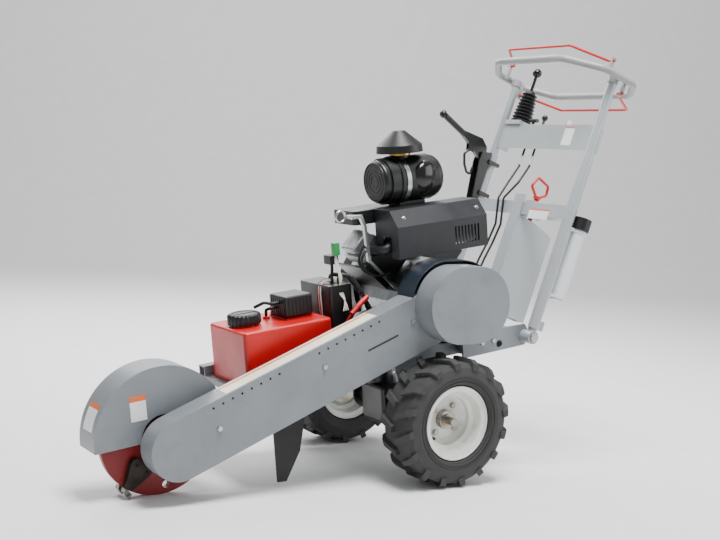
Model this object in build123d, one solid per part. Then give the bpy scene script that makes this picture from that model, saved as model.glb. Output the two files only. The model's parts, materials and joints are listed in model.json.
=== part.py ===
from build123d import *
import os
from math import asin, atan, atan2, cos, degrees, hypot, radians, sin, sqrt

# Self-propelled stump grinder with an offset belt-drive boom, a V-twin engine and a tilting handlebar.
# Millimetres. The machine is laid out level, with the wheel axle at X = 0, the cutter towards -X,
# the operator towards +X, the belt side (left) towards -Y and +Z up. lean() then tips it nose-down
# about the axle until the cutter disc and both tyres rest on the ground, and main() moves the origin
# to the bottom centre of the whole machine. The handlebar has a frame of its own: s runs up along its
# tubes from the pivot, and p runs square to them, away from the engine.

# ---- driving dimensions -------------------------------------------------------------------------
TYRE_RADIUS = 203.0
TYRE_WIDTH = 150.0
TYRE_INNER_Y = 237.0
LUG_DEPTH = 14.0
LUGS_PER_SIDE = 16
RIM_RADIUS = 116.0
BEAD_RADIUS = 101.6
RIM_DISH_DEPTH = 78.0
HUB_RADIUS = 30.0
AXLE_RADIUS = 12.7
LUG_BOLT_CIRCLE = 101.6
LUG_BOLTS = 4
RUNNING_FIT = 0.05
SEAT_GAP = 0.3

CUTTER_X = -872.0
CUTTER_Z = 308.0
DISC_RADIUS = 178.0
DISC_THICKNESS = 20.0
DISC_Y = -108.0
TOOTH_STATIONS = 4
TOOTH_TIP_RADIUS = 198.0
TOOTH_REST_ANGLE = 236.0
POCKET_RADIUS = 140.0
POCKET_THICKNESS = 24.0
CUTTER_SHAFT_RADIUS = 17.5
DISC_HUB_RADIUS = 44.0
HOOD_RADIUS = 206.0
HOOD_NEAR_Y = -155.0
HOOD_FAR_Y = -36.0
SHEET = 3.0

CRANK_X = 98.0
CRANK_Z = 556.0
BOOM_OUTER_Y = -262.0
BOOM_DEPTH_Y = 80.0
BOOM_END_RADIUS = 88.0
BOOM_FRONT = (-868.0, 290.0)
BOOM_PLATE = 8.0
CLUTCH_COVER_FACE_Y = -350.0
CLUTCH_COVER_RADIUS = 120.5
CLUTCH_COVER_SPREAD = 61.0
CRANK_PULLEY_RADIUS = 62.0
CUTTER_PULLEY_RADIUS = 50.0
CLUTCH_RADIUS = 92.0
BELT_WIDTH = 46.0
BELT_THICKNESS = 9.0
BELT_GAP = 0.4
BELT_Y = -226.0

RAIL_HEIGHT = 50.0
RAIL_WIDTH = 40.0
RAIL_OUTER_Y = 172.0
RAIL_TOP_Z = 410.0
FRAME_FRONT_X = -600.0
FRAME_REAR_X = 372.0
DECK_THICKNESS = 6.0
DECK_FRONT_X = -260.0
TRAY_REAR_X = -255.0
RAIL_WALL = 4.0
MEMBER_WIDTH = 40.0
MEMBER_HEIGHT = 12.0
HANGER_Y = 152.0
PIVOT_X = 406.0
PIVOT_Z = 385.0
HANDLE_PLATE_Y = 222.0
HANDLE_PLATE_THICKNESS = 8.0

TANK_LENGTH = 306.0
TANK_WIDTH = 244.0
TANK_HEIGHT = 170.0
TANK_FRONT_X = -578.0
TANK_CENTRE_Y = -4.0
TANK_BASE_Z = 380.0
TANK_WALL = 4.0

HANDLE_LEAN = 26.9
HANDLE_LENGTH = 925.0
HANDLE_HALF_WIDTH = 253.0
TUBE_RADIUS = 15.0
SLEEVE_RADIUS = 19.0
RING_TUBE_RADIUS = 12.5
CROSSBAR = 46.0
CROSSBAR_S = 412.0
CROSSBAR_P = -18.0
QUADRANT_RADIUS = 406.0
COLUMN_WIDTH = 50.0
PANEL_S = 660.0
PANEL_HEIGHT = 92.0
PIN_RADIUS = 8.0
BAIL_ROD_RADIUS = 4.5

ANCHOR_RADIUS = 12.5
ANCHOR_X = 300.0
ANCHOR_RISE = 16.0

BOOM_REAR = (CRANK_X, CRANK_Z - 12.0)
BOOM_INNER_Y = BOOM_OUTER_Y + BOOM_DEPTH_Y

VENTS_PER_ROW = 8
VENT_PITCH = 31.0
VENT_RADIUS = 3.6

ENGINE_FACE_Y = -132.0

IDLER_X = -180.0
IDLER_RADIUS = 26.0

TOOTH_SHANK = 13.0
TOOTH_HEAD_RADIUS = DISC_RADIUS + 1.0
POCKET_BOLTS = [(POCKET_RADIUS - 34, -16), (POCKET_RADIUS - 34, 20)]

HOOD_SKIRT = -6.0

CURTAIN_THICKNESS = 6.0

CAP_X = TANK_FRONT_X + 62.0
CAP_Y = -8.0
CAP_RADIUS = 52.0
TANK_TOP_Z = TANK_BASE_Z + TANK_HEIGHT

HOSE_RADIUS = 5.0

ENGINE_END_Y = 96.0
ENGINE_BACK_Y = 150.0
BANK_ANGLE = 45.0
BORE_RADIUS = 52.0
DECK_TOP_Z = RAIL_TOP_Z + DECK_THICKNESS

BARREL_BASE = 108.0
FIN_COUNT = 10
FIN_PITCH = 10.0

PLENUM_X0 = -130.0
PLENUM_X1 = 152.0
PLENUM_Z = 812.0
PLENUM_TOP_Z = 856.0

FAN_BLADES = 12
GUARD_X0 = -58.0
GUARD_X1 = 292.0
GUARD_TOP_Z = 856.0

MUFFLER_Y = -136.0
MUFFLER_Z = 762.0
MUFFLER_RADIUS = 44.0
HEADER_RADIUS = 15.0
OUTLET_RADIUS = 16.0
OUTLET_BORE_RADIUS = 13.0
FRONT_BANK_Y = -62.0
REAR_BANK_Y = -34.0

AIR_X = 87.0
AIR_Y = -40.0
AIR_Z = 937.0
AIR_RADIUS = 75.0

PIN_Y = -4.0
PIN_P = CROSSBAR_P + CROSSBAR + 23.0
PIN_TRAVEL = 10.0
PIN_SOCKET_TOP_S = CROSSBAR_S + 66.0

COLUMN_FRONT_P = CROSSBAR_P - 1.0
COLUMN_REAR_P = 148.0
LOCK_HOLES = 4
LOCK_STEP = 4.0

BAIL_UPPER_S = HANDLE_LENGTH + 44
BAIL_LOWER_S = HANDLE_LENGTH - 40

JOYSTICK_Y = 186.0
JOYSTICK_P = 25.0
JOYSTICK_SOCKET_RADIUS = 12.0
CHOKE_Y = 110.0
THROTTLE_Y = 55.0
KEY_Y = -78.0
CONTROL_P = 20.0
PANEL_TOP_S = PANEL_S + PANEL_HEIGHT
THROTTLE_PIVOT_S = PANEL_TOP_S - 22.0
THROTTLE_BOSS_RADIUS = 10.0
THROTTLE_BOSS_S = THROTTLE_PIVOT_S - THROTTLE_BOSS_RADIUS
THROTTLE_PIN_RADIUS = 4.0
CHOKE_STEM_S = PANEL_TOP_S - 40.0

BELLOWS_PLEATS = 9
BELLOWS_PITCH = 13.0

BRAKE_Y = HANDLE_HALF_WIDTH
BRAKE_PIVOT = (600.0, -44.0)

TRIGGER_PIVOT = (610.0, -112.0)
TRIGGER_PIN_RADIUS = 2.5
BRAKE_PIN_RADIUS = 5.0
PIVOT_BOLT_RADIUS = 9.5

CANISTER_P = 62.0
CANISTER_RADIUS = 25.0


# ---- shape helpers ------------------------------------------------------------------------------
def block(x0, x1, y0, y1, z0, z1):
    """Axis-aligned box between two corners."""
    centre = ((x0 + x1) / 2, (y0 + y1) / 2, (z0 + z1) / 2)
    return Pos(*centre) * Box(abs(x1 - x0), abs(y1 - y0), abs(z1 - z0))


def cylinder_y(x, z, y0, y1, radius):
    """Cylinder with its axis along Y, between two Y stations."""
    plane = Plane(origin=(x, min(y0, y1), z), x_dir=(1, 0, 0), z_dir=(0, 1, 0))
    return Solid.make_cylinder(radius, abs(y1 - y0), plane)


def rod(start, end, radius):
    """Cylinder between two points."""
    a, b = Vector(*start), Vector(*end)
    return Solid.make_cylinder(radius, (b - a).length, Plane(origin=a, z_dir=(b - a)))


def cone(start, end, radius0, radius1):
    """Cone frustum between two points."""
    a, b = Vector(*start), Vector(*end)
    return Solid.make_cone(radius0, radius1, (b - a).length, Plane(origin=a, z_dir=(b - a)))


def ball(centre, radius):
    """Sphere about a point."""
    return Pos(*centre) * Sphere(radius)


def prism(points, direction):
    """Straight prism on a flat polygon given by 3-D points."""
    face = Face(Wire.make_polygon([Vector(*p) for p in points], close=True))
    return Solid.extrude(face, Vector(*direction))


def prism_y(outline, y0, y1):
    """Prism along Y on an (x, z) outline."""
    return prism([(x, y0, z) for x, z in outline], (0, y1 - y0, 0))


def prism_x(outline, x0, x1):
    """Prism along X on a (y, z) outline."""
    return prism([(x0, y, z) for y, z in outline], (x1 - x0, 0, 0))


def capsule_y(front, front_radius, rear, rear_radius, y0, y1):
    """Two round ends joined by their outer tangents, extruded along Y."""
    dx, dz = rear[0] - front[0], rear[1] - front[1]
    length = hypot(dx, dz)
    ux, uz = dx / length, dz / length
    k = (front_radius - rear_radius) / length
    side = sqrt(1 - k * k)
    up = (ux * k - uz * side, uz * k + ux * side)
    down = (ux * k + uz * side, uz * k - ux * side)
    corners = [(front[0] + front_radius * up[0], front[1] + front_radius * up[1]),
               (rear[0] + rear_radius * up[0], rear[1] + rear_radius * up[1]),
               (rear[0] + rear_radius * down[0], rear[1] + rear_radius * down[1]),
               (front[0] + front_radius * down[0], front[1] + front_radius * down[1])]
    body = prism_y(corners, y0, y1)
    body = body + cylinder_y(front[0], front[1], y0, y1, front_radius)
    return body + cylinder_y(rear[0], rear[1], y0, y1, rear_radius)


def revolve_y(x, z, profile):
    """Ring about a Y axis through (x, z) on a (y, radius) profile."""
    face = Face(Wire.make_polygon([Vector(x, y, z + r) for y, r in profile], close=True))
    return revolve(face, Axis((x, 0, z), (0, 1, 0)), 360)


def pipe(points, radius, bend):
    """Round rod along straight runs joined by tangent arcs."""
    path = FilletPolyline(*points, radius=bend)
    section = Plane(origin=path @ 0, z_dir=path % 0) * Circle(radius)
    return sweep(section, path=path)


def polar(radius, angle, x=CUTTER_X, z=CUTTER_Z):
    """Point on a circle in the XZ plane, angle from +X towards +Z."""
    return (x + radius * cos(radians(angle)), z + radius * sin(radians(angle)))


def group(solids):
    """Separate solids kept together in one node."""
    flat = []
    for item in solids:
        flat.extend(item.solids())
    return Compound(flat) if len(flat) > 1 else flat[0]


def hex_bolt(x, y, z, side, radius=6.0, head=5.0, shank=0.0):
    """Hexagon head on a Y axis, standing off a face at y towards side (+1 or -1)."""
    plane = Plane(origin=(x, y, z), x_dir=(1, 0, 0), z_dir=(0, side, 0))
    bolt = extrude(plane * RegularPolygon(radius * 1.15, 6), head)
    if shank > 0:
        bolt = bolt + cylinder_y(x, z, y, y - side * shank, radius * 0.55)
    return bolt


def handle_point(s, p, y):
    """Point in the handlebar's own frame: s along the tubes, p behind them."""
    lean = radians(HANDLE_LEAN)
    return (PIVOT_X + s * sin(lean) + p * cos(lean), y, PIVOT_Z + s * cos(lean) - p * sin(lean))


def handle_prism(outline, y0, y1):
    """Prism along Y on an (s, p) outline in the handlebar's frame."""
    return prism([handle_point(s, p, y0) for s, p in outline], (0, y1 - y0, 0))


def handle_block(s0, s1, p0, p1, y0, y1):
    """Box square to the handlebar tubes."""
    return handle_prism([(s0, p0), (s1, p0), (s1, p1), (s0, p1)], y0, y1)


def handle_rod(start, end, radius):
    """Cylinder between two (s, p, y) points of the handlebar's frame."""
    return rod(handle_point(*start), handle_point(*end), radius)


# ---- chassis ------------------------------------------------------------------------------------
def chassis_frame():
    """Welded frame: rails, cross members, engine deck, tank tray, axle hangers and side plates."""
    inner = RAIL_OUTER_Y - RAIL_WIDTH
    low = RAIL_TOP_Z - RAIL_HEIGHT
    plate_inner = HANDLE_PLATE_Y - HANDLE_PLATE_THICKNESS
    pivot_hole = cylinder_y(PIVOT_X, PIVOT_Z, -300, 300, PIVOT_BOLT_RADIUS + 0.5)
    anchor_hole = cylinder_y(ANCHOR_X, low + ANCHOR_RISE, -300, 300, ANCHOR_RADIUS)
    solids = [block(DECK_FRONT_X, FRAME_REAR_X, -RAIL_OUTER_Y, RAIL_OUTER_Y, RAIL_TOP_Z, DECK_TOP_Z)]
    for side in (-1, 1):
        rail = block(FRAME_FRONT_X, FRAME_REAR_X, side * inner, side * RAIL_OUTER_Y, low, RAIL_TOP_Z)
        core = block(FRAME_FRONT_X - 1, FRAME_REAR_X + 1, side * (inner + RAIL_WALL),
                     side * (RAIL_OUTER_Y - RAIL_WALL), low + RAIL_WALL, RAIL_TOP_Z - RAIL_WALL)
        solids.append(rail - core - anchor_hole)
        hanger = prism_y([(-75, low), (75, low), (34, TYRE_RADIUS - 34), (-34, TYRE_RADIUS - 34)],
                         side * HANGER_Y - 5, side * HANGER_Y + 5)
        solids.append(hanger - cylinder_y(0, TYRE_RADIUS, -200, 200, 26))
        plate_outline = [(150, low - 6), (FRAME_REAR_X + 34, low - 6), (FRAME_REAR_X + 62, PIVOT_Z),
                         (FRAME_REAR_X + 40, RAIL_TOP_Z + 14), (250, RAIL_TOP_Z + 20),
                         (150, RAIL_TOP_Z + 4)]
        plate = prism_y(plate_outline, side * plate_inner, side * HANDLE_PLATE_Y)
        solids.append(plate - pivot_hole - anchor_hole)
        spacer = block(170, FRAME_REAR_X, side * RAIL_OUTER_Y, side * plate_inner, low, RAIL_TOP_Z)
        solids.append(spacer - anchor_hole)
    for x in (FRAME_FRONT_X, TRAY_REAR_X, 40, FRAME_REAR_X - MEMBER_WIDTH):
        solids.append(block(x, x + MEMBER_WIDTH, -inner, inner, low, low + MEMBER_HEIGHT))
    solids.append(block(FRAME_FRONT_X, TRAY_REAR_X, -inner, inner, low + MEMBER_HEIGHT,
                        TANK_BASE_Z - SEAT_GAP))
    return group(solids)


def drive_gearbox():
    """Hydraulic wheel-drive gearbox hung below the deck, with its motor and axle tubes."""
    case = block(-70, 80, -70, 70, TYRE_RADIUS - 62, TYRE_RADIUS + 72)
    case = fillet(case.edges(), 16)
    for side in (-1, 1):
        case = case + cylinder_y(0, TYRE_RADIUS, side * 60, side * (HANGER_Y - 5.3), 34)
        flange = cylinder_y(0, TYRE_RADIUS, side * (HANGER_Y - 14), side * (HANGER_Y - 5.3), 52)
        case = case + flange
    motor = rod((-20, 20, TYRE_RADIUS + 60), (-20, 20, TYRE_RADIUS + 140), 46)
    stub = rod((60, 0, TYRE_RADIUS + 10), (150, 0, TYRE_RADIUS + 10), 30)
    case = case + motor + stub
    return case - cylinder_y(0, TYRE_RADIUS, -200, 200, AXLE_RADIUS + RUNNING_FIT)


# ---- boom and belt drive --------------------------------------------------------------------------
def along_boom(x, offset):
    """Point of the boom's centre line at x, moved square to it by offset."""
    dx, dz = BOOM_REAR[0] - BOOM_FRONT[0], BOOM_REAR[1] - BOOM_FRONT[1]
    length = hypot(dx, dz)
    z = BOOM_FRONT[1] + (x - BOOM_FRONT[0]) * dz / dx
    return (x - offset * dz / length, z + offset * dx / length)


def boom_beam():
    """Structural back plate of the boom with its stiffening flanges and cutter bearing seat."""
    plate = capsule_y(BOOM_FRONT, BOOM_END_RADIUS - 4, BOOM_REAR, BOOM_END_RADIUS - 4,
                      BOOM_INNER_Y - BOOM_PLATE, BOOM_INNER_Y)
    low, high = [], []
    for x in (-400, -170):
        low.append(along_boom(x, -34))
        high.append(along_boom(x, 34))
    channel = prism_y([low[0], low[1], high[1], high[0]], BOOM_INNER_Y - 1, -RAIL_OUTER_Y)
    seat = cylinder_y(CUTTER_X, CUTTER_Z, BOOM_INNER_Y - 1, BOOM_INNER_Y + 6, 62)
    beam = plate + channel + seat
    beam = beam - cylinder_y(CUTTER_X, CUTTER_Z, -300, -100, CUTTER_SHAFT_RADIUS + 6)
    return beam - cylinder_y(CRANK_X, CRANK_Z, -300, -100, 66)


def belt_guard_cover():
    """Pressed belt guard: outer face and rim, open towards the beam, with two rows of vent holes."""
    outer = capsule_y(BOOM_FRONT, BOOM_END_RADIUS, BOOM_REAR, BOOM_END_RADIUS, BOOM_OUTER_Y, BOOM_INNER_Y)
    inner = capsule_y(BOOM_FRONT, BOOM_END_RADIUS - SHEET, BOOM_REAR, BOOM_END_RADIUS - SHEET,
                      BOOM_OUTER_Y + SHEET, BOOM_INNER_Y + 1)
    cover = outer - inner
    for row_start in (-742.0, -388.0):
        for index in range(VENTS_PER_ROW):
            x, z = along_boom(row_start + index * VENT_PITCH, BOOM_END_RADIUS - 19)
            cover = cover - cylinder_y(x, z, BOOM_OUTER_Y - 1, BOOM_OUTER_Y + SHEET + 1, VENT_RADIUS)
    clutch_opening = cylinder_y(CRANK_X, CRANK_Z, BOOM_OUTER_Y - 1, BOOM_OUTER_Y + SHEET + 1,
                                CLUTCH_RADIUS + 12)
    return cover - clutch_opening


def clutch_outline(radius, y0, y1):
    """Oval outline of the clutch housing between two Y stations."""
    half = CLUTCH_COVER_SPREAD / 2
    front = (CRANK_X - half, CRANK_Z + 2)
    rear = (CRANK_X + half, CRANK_Z - 6)
    return capsule_y(front, radius, rear, radius, y0, y1)


def clutch_cover():
    """Deep oval cover over the clutch, standing on the belt guard's face."""
    outer = clutch_outline(CLUTCH_COVER_RADIUS, CLUTCH_COVER_FACE_Y, BOOM_OUTER_Y)
    inner = clutch_outline(CLUTCH_COVER_RADIUS - SHEET, CLUTCH_COVER_FACE_Y + SHEET, BOOM_OUTER_Y + 1)
    return outer - inner


def clutch_backplate():
    """Painted closing plate behind the clutch, bolted to the engine's drive-side face."""
    plate = clutch_outline(CLUTCH_COVER_RADIUS + 12, BOOM_INNER_Y + 0.3, BOOM_INNER_Y + 6)
    rim = clutch_outline(CLUTCH_COVER_RADIUS + 12, BOOM_OUTER_Y + 1, BOOM_INNER_Y + 0.6)
    rim = rim - clutch_outline(CLUTCH_COVER_RADIUS + 9, BOOM_OUTER_Y, BOOM_INNER_Y + 0.2)
    guard_space = capsule_y(BOOM_FRONT, BOOM_END_RADIUS + 0.3, BOOM_REAR, BOOM_END_RADIUS + 0.3,
                            BOOM_OUTER_Y, BOOM_INNER_Y + 0.2)
    shell = plate + (rim - guard_space)
    return shell - cylinder_y(CRANK_X, CRANK_Z, -300, -100, 66)


def drive_belts():
    """Four joined V-belt strands running round both pulleys, with a small gap to each groove."""
    inner_front = CUTTER_PULLEY_RADIUS + BELT_GAP
    inner_rear = CRANK_PULLEY_RADIUS + BELT_GAP
    y0, y1 = BELT_Y - BELT_WIDTH / 2, BELT_Y + BELT_WIDTH / 2
    cutter, crank = (CUTTER_X, CUTTER_Z), (CRANK_X, CRANK_Z)
    outside = capsule_y(cutter, inner_front + BELT_THICKNESS, crank, inner_rear + BELT_THICKNESS, y0, y1)
    inside = capsule_y(cutter, inner_front, crank, inner_rear, y0 - 1, y1 + 1)
    return outside - inside


def clutch_pulley():
    """Crankshaft end with the grooved drive pulley and the electric clutch."""
    shaft = cylinder_y(CRANK_X, CRANK_Z, CLUTCH_COVER_FACE_Y + 22, ENGINE_FACE_Y + 30, 12.5)
    pulley = cylinder_y(CRANK_X, CRANK_Z, BELT_Y - BELT_WIDTH / 2 - 4, BELT_Y + BELT_WIDTH / 2 + 4,
                        CRANK_PULLEY_RADIUS)
    clutch = cylinder_y(CRANK_X, CRANK_Z, CLUTCH_COVER_FACE_Y + 30, BELT_Y - BELT_WIDTH / 2 - 4, 58)
    field = cylinder_y(CRANK_X, CRANK_Z, CLUTCH_COVER_FACE_Y + 34, CLUTCH_COVER_FACE_Y + 78, CLUTCH_RADIUS)
    return shaft + pulley + clutch + field


def driven_pulley():
    """Grooved pulley on the cutter shaft."""
    pulley = cylinder_y(CUTTER_X, CUTTER_Z, BELT_Y - BELT_WIDTH / 2 - 4, BELT_Y + BELT_WIDTH / 2 + 4,
                        CUTTER_PULLEY_RADIUS)
    return pulley - cylinder_y(CUTTER_X, CUTTER_Z, -400, 0, CUTTER_SHAFT_RADIUS)


def idler_centre():
    """Idler pulley centre, just inside the belt's upper strand."""
    dx, dz = CRANK_X - CUTTER_X, CRANK_Z - CUTTER_Z
    length = hypot(dx, dz)
    k = (CUTTER_PULLEY_RADIUS - CRANK_PULLEY_RADIUS) / length
    side = sqrt(1 - k * k)
    up = (dx / length * k - dz / length * side, dz / length * k + dx / length * side)
    start = (CUTTER_X + up[0] * CUTTER_PULLEY_RADIUS, CUTTER_Z + up[1] * CUTTER_PULLEY_RADIUS)
    along = (up[1], -up[0])
    reach = (IDLER_X - start[0]) * up[1]
    drop = IDLER_RADIUS + 3 * BELT_GAP
    return (start[0] + along[0] * reach - up[0] * drop, start[1] + along[1] * reach - up[1] * drop)


def idler_pulley():
    """Flat idler running on the inside of the belt's upper strand."""
    x, z = idler_centre()
    wheel = cylinder_y(x, z, BELT_Y - BELT_WIDTH / 2 - 2, BELT_Y + BELT_WIDTH / 2 + 2, IDLER_RADIUS)
    return wheel - cylinder_y(x, z, -400, 0, 8 + RUNNING_FIT)


def idler_arm():
    """Tensioner arm with the idler's pin, swinging on a stud of the beam."""
    x, z = idler_centre()
    y0 = BELT_Y + BELT_WIDTH / 2 + 2.5
    arm = capsule_y((x, z), 14, (x + 70, z - 18), 14, y0, y0 + 5)
    pin = cylinder_y(x, z, BELT_Y - BELT_WIDTH / 2 - 6, y0 + 1, 8)
    stud = cylinder_y(x + 70, z - 18, y0, BOOM_INNER_Y - BOOM_PLATE - 0.3, 9)
    return arm + pin + stud


# ---- cutter ---------------------------------------------------------------------------------------
def stance_angle():
    """Nose-down lean, in degrees, that brings the cutter disc down to the ground."""
    dx, dz = -CUTTER_X, CUTTER_Z - TYRE_RADIUS
    return degrees(atan2(dz, dx) + asin((TYRE_RADIUS - DISC_RADIUS) / hypot(dx, dz)))


def station_angles():
    """Angles of the tooth stations in the level layout."""
    step = 360.0 / TOOTH_STATIONS
    return [TOOTH_REST_ANGLE - stance_angle() + step * index for index in range(TOOTH_STATIONS)]


def cutter_shaft():
    """Cutter shaft through both bearings, with the disc hub flange."""
    shaft = cylinder_y(CUTTER_X, CUTTER_Z, BELT_Y - BELT_WIDTH / 2 - 10, DISC_Y + DISC_THICKNESS / 2 + 26,
                       CUTTER_SHAFT_RADIUS)
    flange = cylinder_y(CUTTER_X, CUTTER_Z, DISC_Y - DISC_THICKNESS / 2 - 12, DISC_Y - DISC_THICKNESS / 2,
                        DISC_HUB_RADIUS)
    cap = cylinder_y(CUTTER_X, CUTTER_Z, DISC_Y + DISC_THICKNESS / 2, DISC_Y + DISC_THICKNESS / 2 + 12,
                     DISC_HUB_RADIUS - 8)
    return shaft + flange + cap


def cutter_disc():
    """Steel cutter disc with four lightening holes between the tooth stations."""
    y0, y1 = DISC_Y - DISC_THICKNESS / 2, DISC_Y + DISC_THICKNESS / 2
    disc = cylinder_y(CUTTER_X, CUTTER_Z, y0, y1, DISC_RADIUS)
    for angle in station_angles():
        hx, hz = polar(DISC_RADIUS - 26, angle + 45)
        disc = disc - cylinder_y(hx, hz, y0 - 1, y1 + 1, 11)
    return disc - cylinder_y(CUTTER_X, CUTTER_Z, y0 - 1, y1 + 1, CUTTER_SHAFT_RADIUS)


def station_point(angle, radial, tangential):
    """Point at a tooth station: radial from the axis, tangential in the cutting direction."""
    x, z = polar(radial, angle)
    x += tangential * cos(radians(angle + 90))
    z += tangential * sin(radians(angle + 90))
    return (x, z)


def tooth_pocket(angle, face_y, side):
    """Rounded triangular pocket block bolted to one face of the disc."""
    y1 = face_y + side * POCKET_THICKNESS
    ends = [(POCKET_RADIUS - 34, -16, 17), (POCKET_RADIUS - 34, 20, 17), (POCKET_RADIUS + 22, 4, 15)]
    outline = [station_point(angle, r, t) for r, t, _ in ends]
    body = prism_y(outline, face_y, y1)
    for r, t, radius in ends:
        x, z = station_point(angle, r, t)
        body = body + cylinder_y(x, z, face_y, y1, radius)
    sides = [station_point(angle, POCKET_RADIUS - 51, -16), station_point(angle, POCKET_RADIUS - 51, 20),
             station_point(angle, POCKET_RADIUS - 30, 37), station_point(angle, POCKET_RADIUS + 26, 18.5),
             station_point(angle, POCKET_RADIUS + 26, -10.5), station_point(angle, POCKET_RADIUS - 30, -33)]
    body = body + prism_y(sides, face_y, y1)
    slot_low = station_point(angle, POCKET_RADIUS - 6, 4)
    slot = capsule_y(slot_low, TOOTH_SHANK / 2 + 0.1, station_point(angle, POCKET_RADIUS + 70, 4),
                     TOOTH_SHANK / 2 + 0.1, face_y - side, face_y + side * (POCKET_THICKNESS - 9))
    for r, t in POCKET_BOLTS:
        x, z = station_point(angle, r, t)
        body = body - cylinder_y(x, z, face_y - side, y1 + side, 6.0)
        body = body - cylinder_y(x, z, y1 - side * 9, y1 + side, 9.5)
    return body - slot


def cutter_tooth(angle, face_y, side):
    """Forged tooth: shank in the pocket's slot and a flared head with a square carbide tip."""
    top = face_y + side * (POCKET_THICKNESS - 9.4)
    shank = capsule_y(station_point(angle, POCKET_RADIUS - 6, 4), TOOTH_SHANK / 2 - 0.2,
                      station_point(angle, POCKET_RADIUS + 36, 4), TOOTH_SHANK / 2 - 0.2,
                      face_y + side * 0.3, top)
    head = [station_point(angle, TOOTH_HEAD_RADIUS, -6), station_point(angle, TOOTH_HEAD_RADIUS, 14),
            station_point(angle, TOOTH_TIP_RADIUS - 4, 17), station_point(angle, TOOTH_TIP_RADIUS - 8, -2)]
    head = prism_y(head, face_y + side * 0.3, top + side * 9)
    tip = [station_point(angle, TOOTH_HEAD_RADIUS + 2, 13), station_point(angle, TOOTH_HEAD_RADIUS + 2, 20),
           station_point(angle, TOOTH_TIP_RADIUS - 1.5, 20), station_point(angle, TOOTH_TIP_RADIUS - 4, 12)]
    tip = prism_y(tip, face_y + side * 3, top + side * 13)
    return shank + head + tip


def pocket_bolt(x, z, face_y, side):
    """Socket-head bolt sunk in the pocket and threaded into the disc's face plate."""
    top = face_y + side * POCKET_THICKNESS
    bolt = cylinder_y(x, z, face_y, top - side * 9, 5.7)
    head = cylinder_y(x, z, top - side * 9, top - side * 0.5, 9.0)
    plane = Plane(origin=(x, top - side * 5.5, z), x_dir=(1, 0, 0), z_dir=(0, side, 0))
    socket = extrude(plane * RegularPolygon(4.6, 6), 8)
    return (bolt + head) - socket


def cutter_hardware():
    """Pockets, teeth and bolts on both faces of the disc."""
    pockets, teeth, bolts = [], [], []
    for side in (-1, 1):
        face_y = DISC_Y + side * DISC_THICKNESS / 2
        for angle in station_angles():
            pockets.append(tooth_pocket(angle, face_y, side))
            teeth.append(cutter_tooth(angle, face_y, side))
            for r, t in POCKET_BOLTS:
                x, z = station_point(angle, r, t)
                bolts.append(pocket_bolt(x, z, face_y, side))
    return group(pockets), group(teeth), group(bolts)


def cutter_bearings():
    """Two flanged bearing units either side of the boom's beam."""
    inner_face = BOOM_INNER_Y + 6
    outer_face = BOOM_INNER_Y - BOOM_PLATE
    housings = []
    for face, depth in ((inner_face, 22), (outer_face, -8)):
        body = cylinder_y(CUTTER_X, CUTTER_Z, face, face + depth, 50 if depth > 0 else 36)
        body = body - cylinder_y(CUTTER_X, CUTTER_Z, -300, -100, CUTTER_SHAFT_RADIUS + RUNNING_FIT)
        housings.append(body)
    return group(housings)


def cutter_hood():
    """Half-drum hood over the cutter: two side plates and a rim, open below and behind the disc."""
    x0, z0 = CUTTER_X, CUTTER_Z
    drum = cylinder_y(x0, z0, HOOD_NEAR_Y, HOOD_FAR_Y, HOOD_RADIUS)
    inside = cylinder_y(x0, z0, HOOD_NEAR_Y + SHEET, HOOD_FAR_Y - SHEET,
                        HOOD_RADIUS - SHEET)
    shell = drum - inside
    lower_half = block(x0 - 400, x0 + 400, -400, 200, z0 - 400, z0 + HOOD_SKIRT)
    shell = shell - lower_half
    hub_room = cylinder_y(x0, z0, HOOD_NEAR_Y - 1, HOOD_NEAR_Y + SHEET + 1, 66)
    bridge = block(x0 + 20, x0 + 150, BOOM_INNER_Y, HOOD_NEAR_Y + 1, z0 + 60, z0 + 66)
    return (shell - hub_room) + bridge


def chip_curtain():
    """Rubber deflector curtain bolted to the inside of the boom's beam, ahead of the wheel."""
    y1 = BOOM_INNER_Y + 0.3
    outline = [(-536, 356), (-536, 96), (-506, 92), (-452, 176), (-430, 262), (-430, 356)]
    return prism_y(outline, y1, y1 + CURTAIN_THICKNESS)


# ---- fuel tank ------------------------------------------------------------------------------------
def fuel_tank():
    """Welded steel tank with a filler neck, an outlet boss and the bracket of the vapour canister."""
    x1 = TANK_FRONT_X + TANK_LENGTH
    y0, y1 = TANK_CENTRE_Y - TANK_WIDTH / 2, TANK_CENTRE_Y + TANK_WIDTH / 2
    outer = block(TANK_FRONT_X, x1, y0, y1, TANK_BASE_Z, TANK_TOP_Z)
    outer = fillet(outer.edges().filter_by(Axis.Z), 14)
    outer = fillet(outer.edges().group_by(Axis.Z)[-1], 8)
    inner = block(TANK_FRONT_X + TANK_WALL, x1 - TANK_WALL, y0 + TANK_WALL, y1 - TANK_WALL,
                  TANK_BASE_Z + TANK_WALL, TANK_TOP_Z - TANK_WALL)
    neck = rod((CAP_X, CAP_Y, TANK_TOP_Z - 8), (CAP_X, CAP_Y, TANK_TOP_Z + 16), CAP_RADIUS - 12)
    bore = rod((CAP_X, CAP_Y, TANK_TOP_Z - 9), (CAP_X, CAP_Y, TANK_TOP_Z + 17), CAP_RADIUS - 16)
    boss = rod((CAP_X + 92, CAP_Y + 30, TANK_TOP_Z - 2), (CAP_X + 92, CAP_Y + 30, TANK_TOP_Z + 8), 11)
    bracket = block(-392, -312, -52, 60, TANK_TOP_Z - 1, TANK_TOP_Z + 4)
    riser = block(-296, -291, -40, 60, TANK_TOP_Z - 1, TANK_TOP_Z + 62)
    brace = block(-392, -291, 48, 54, TANK_TOP_Z - 1, TANK_TOP_Z + 40)
    return (outer - inner) + (neck - bore) + boss + bracket + riser + brace - bore


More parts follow.
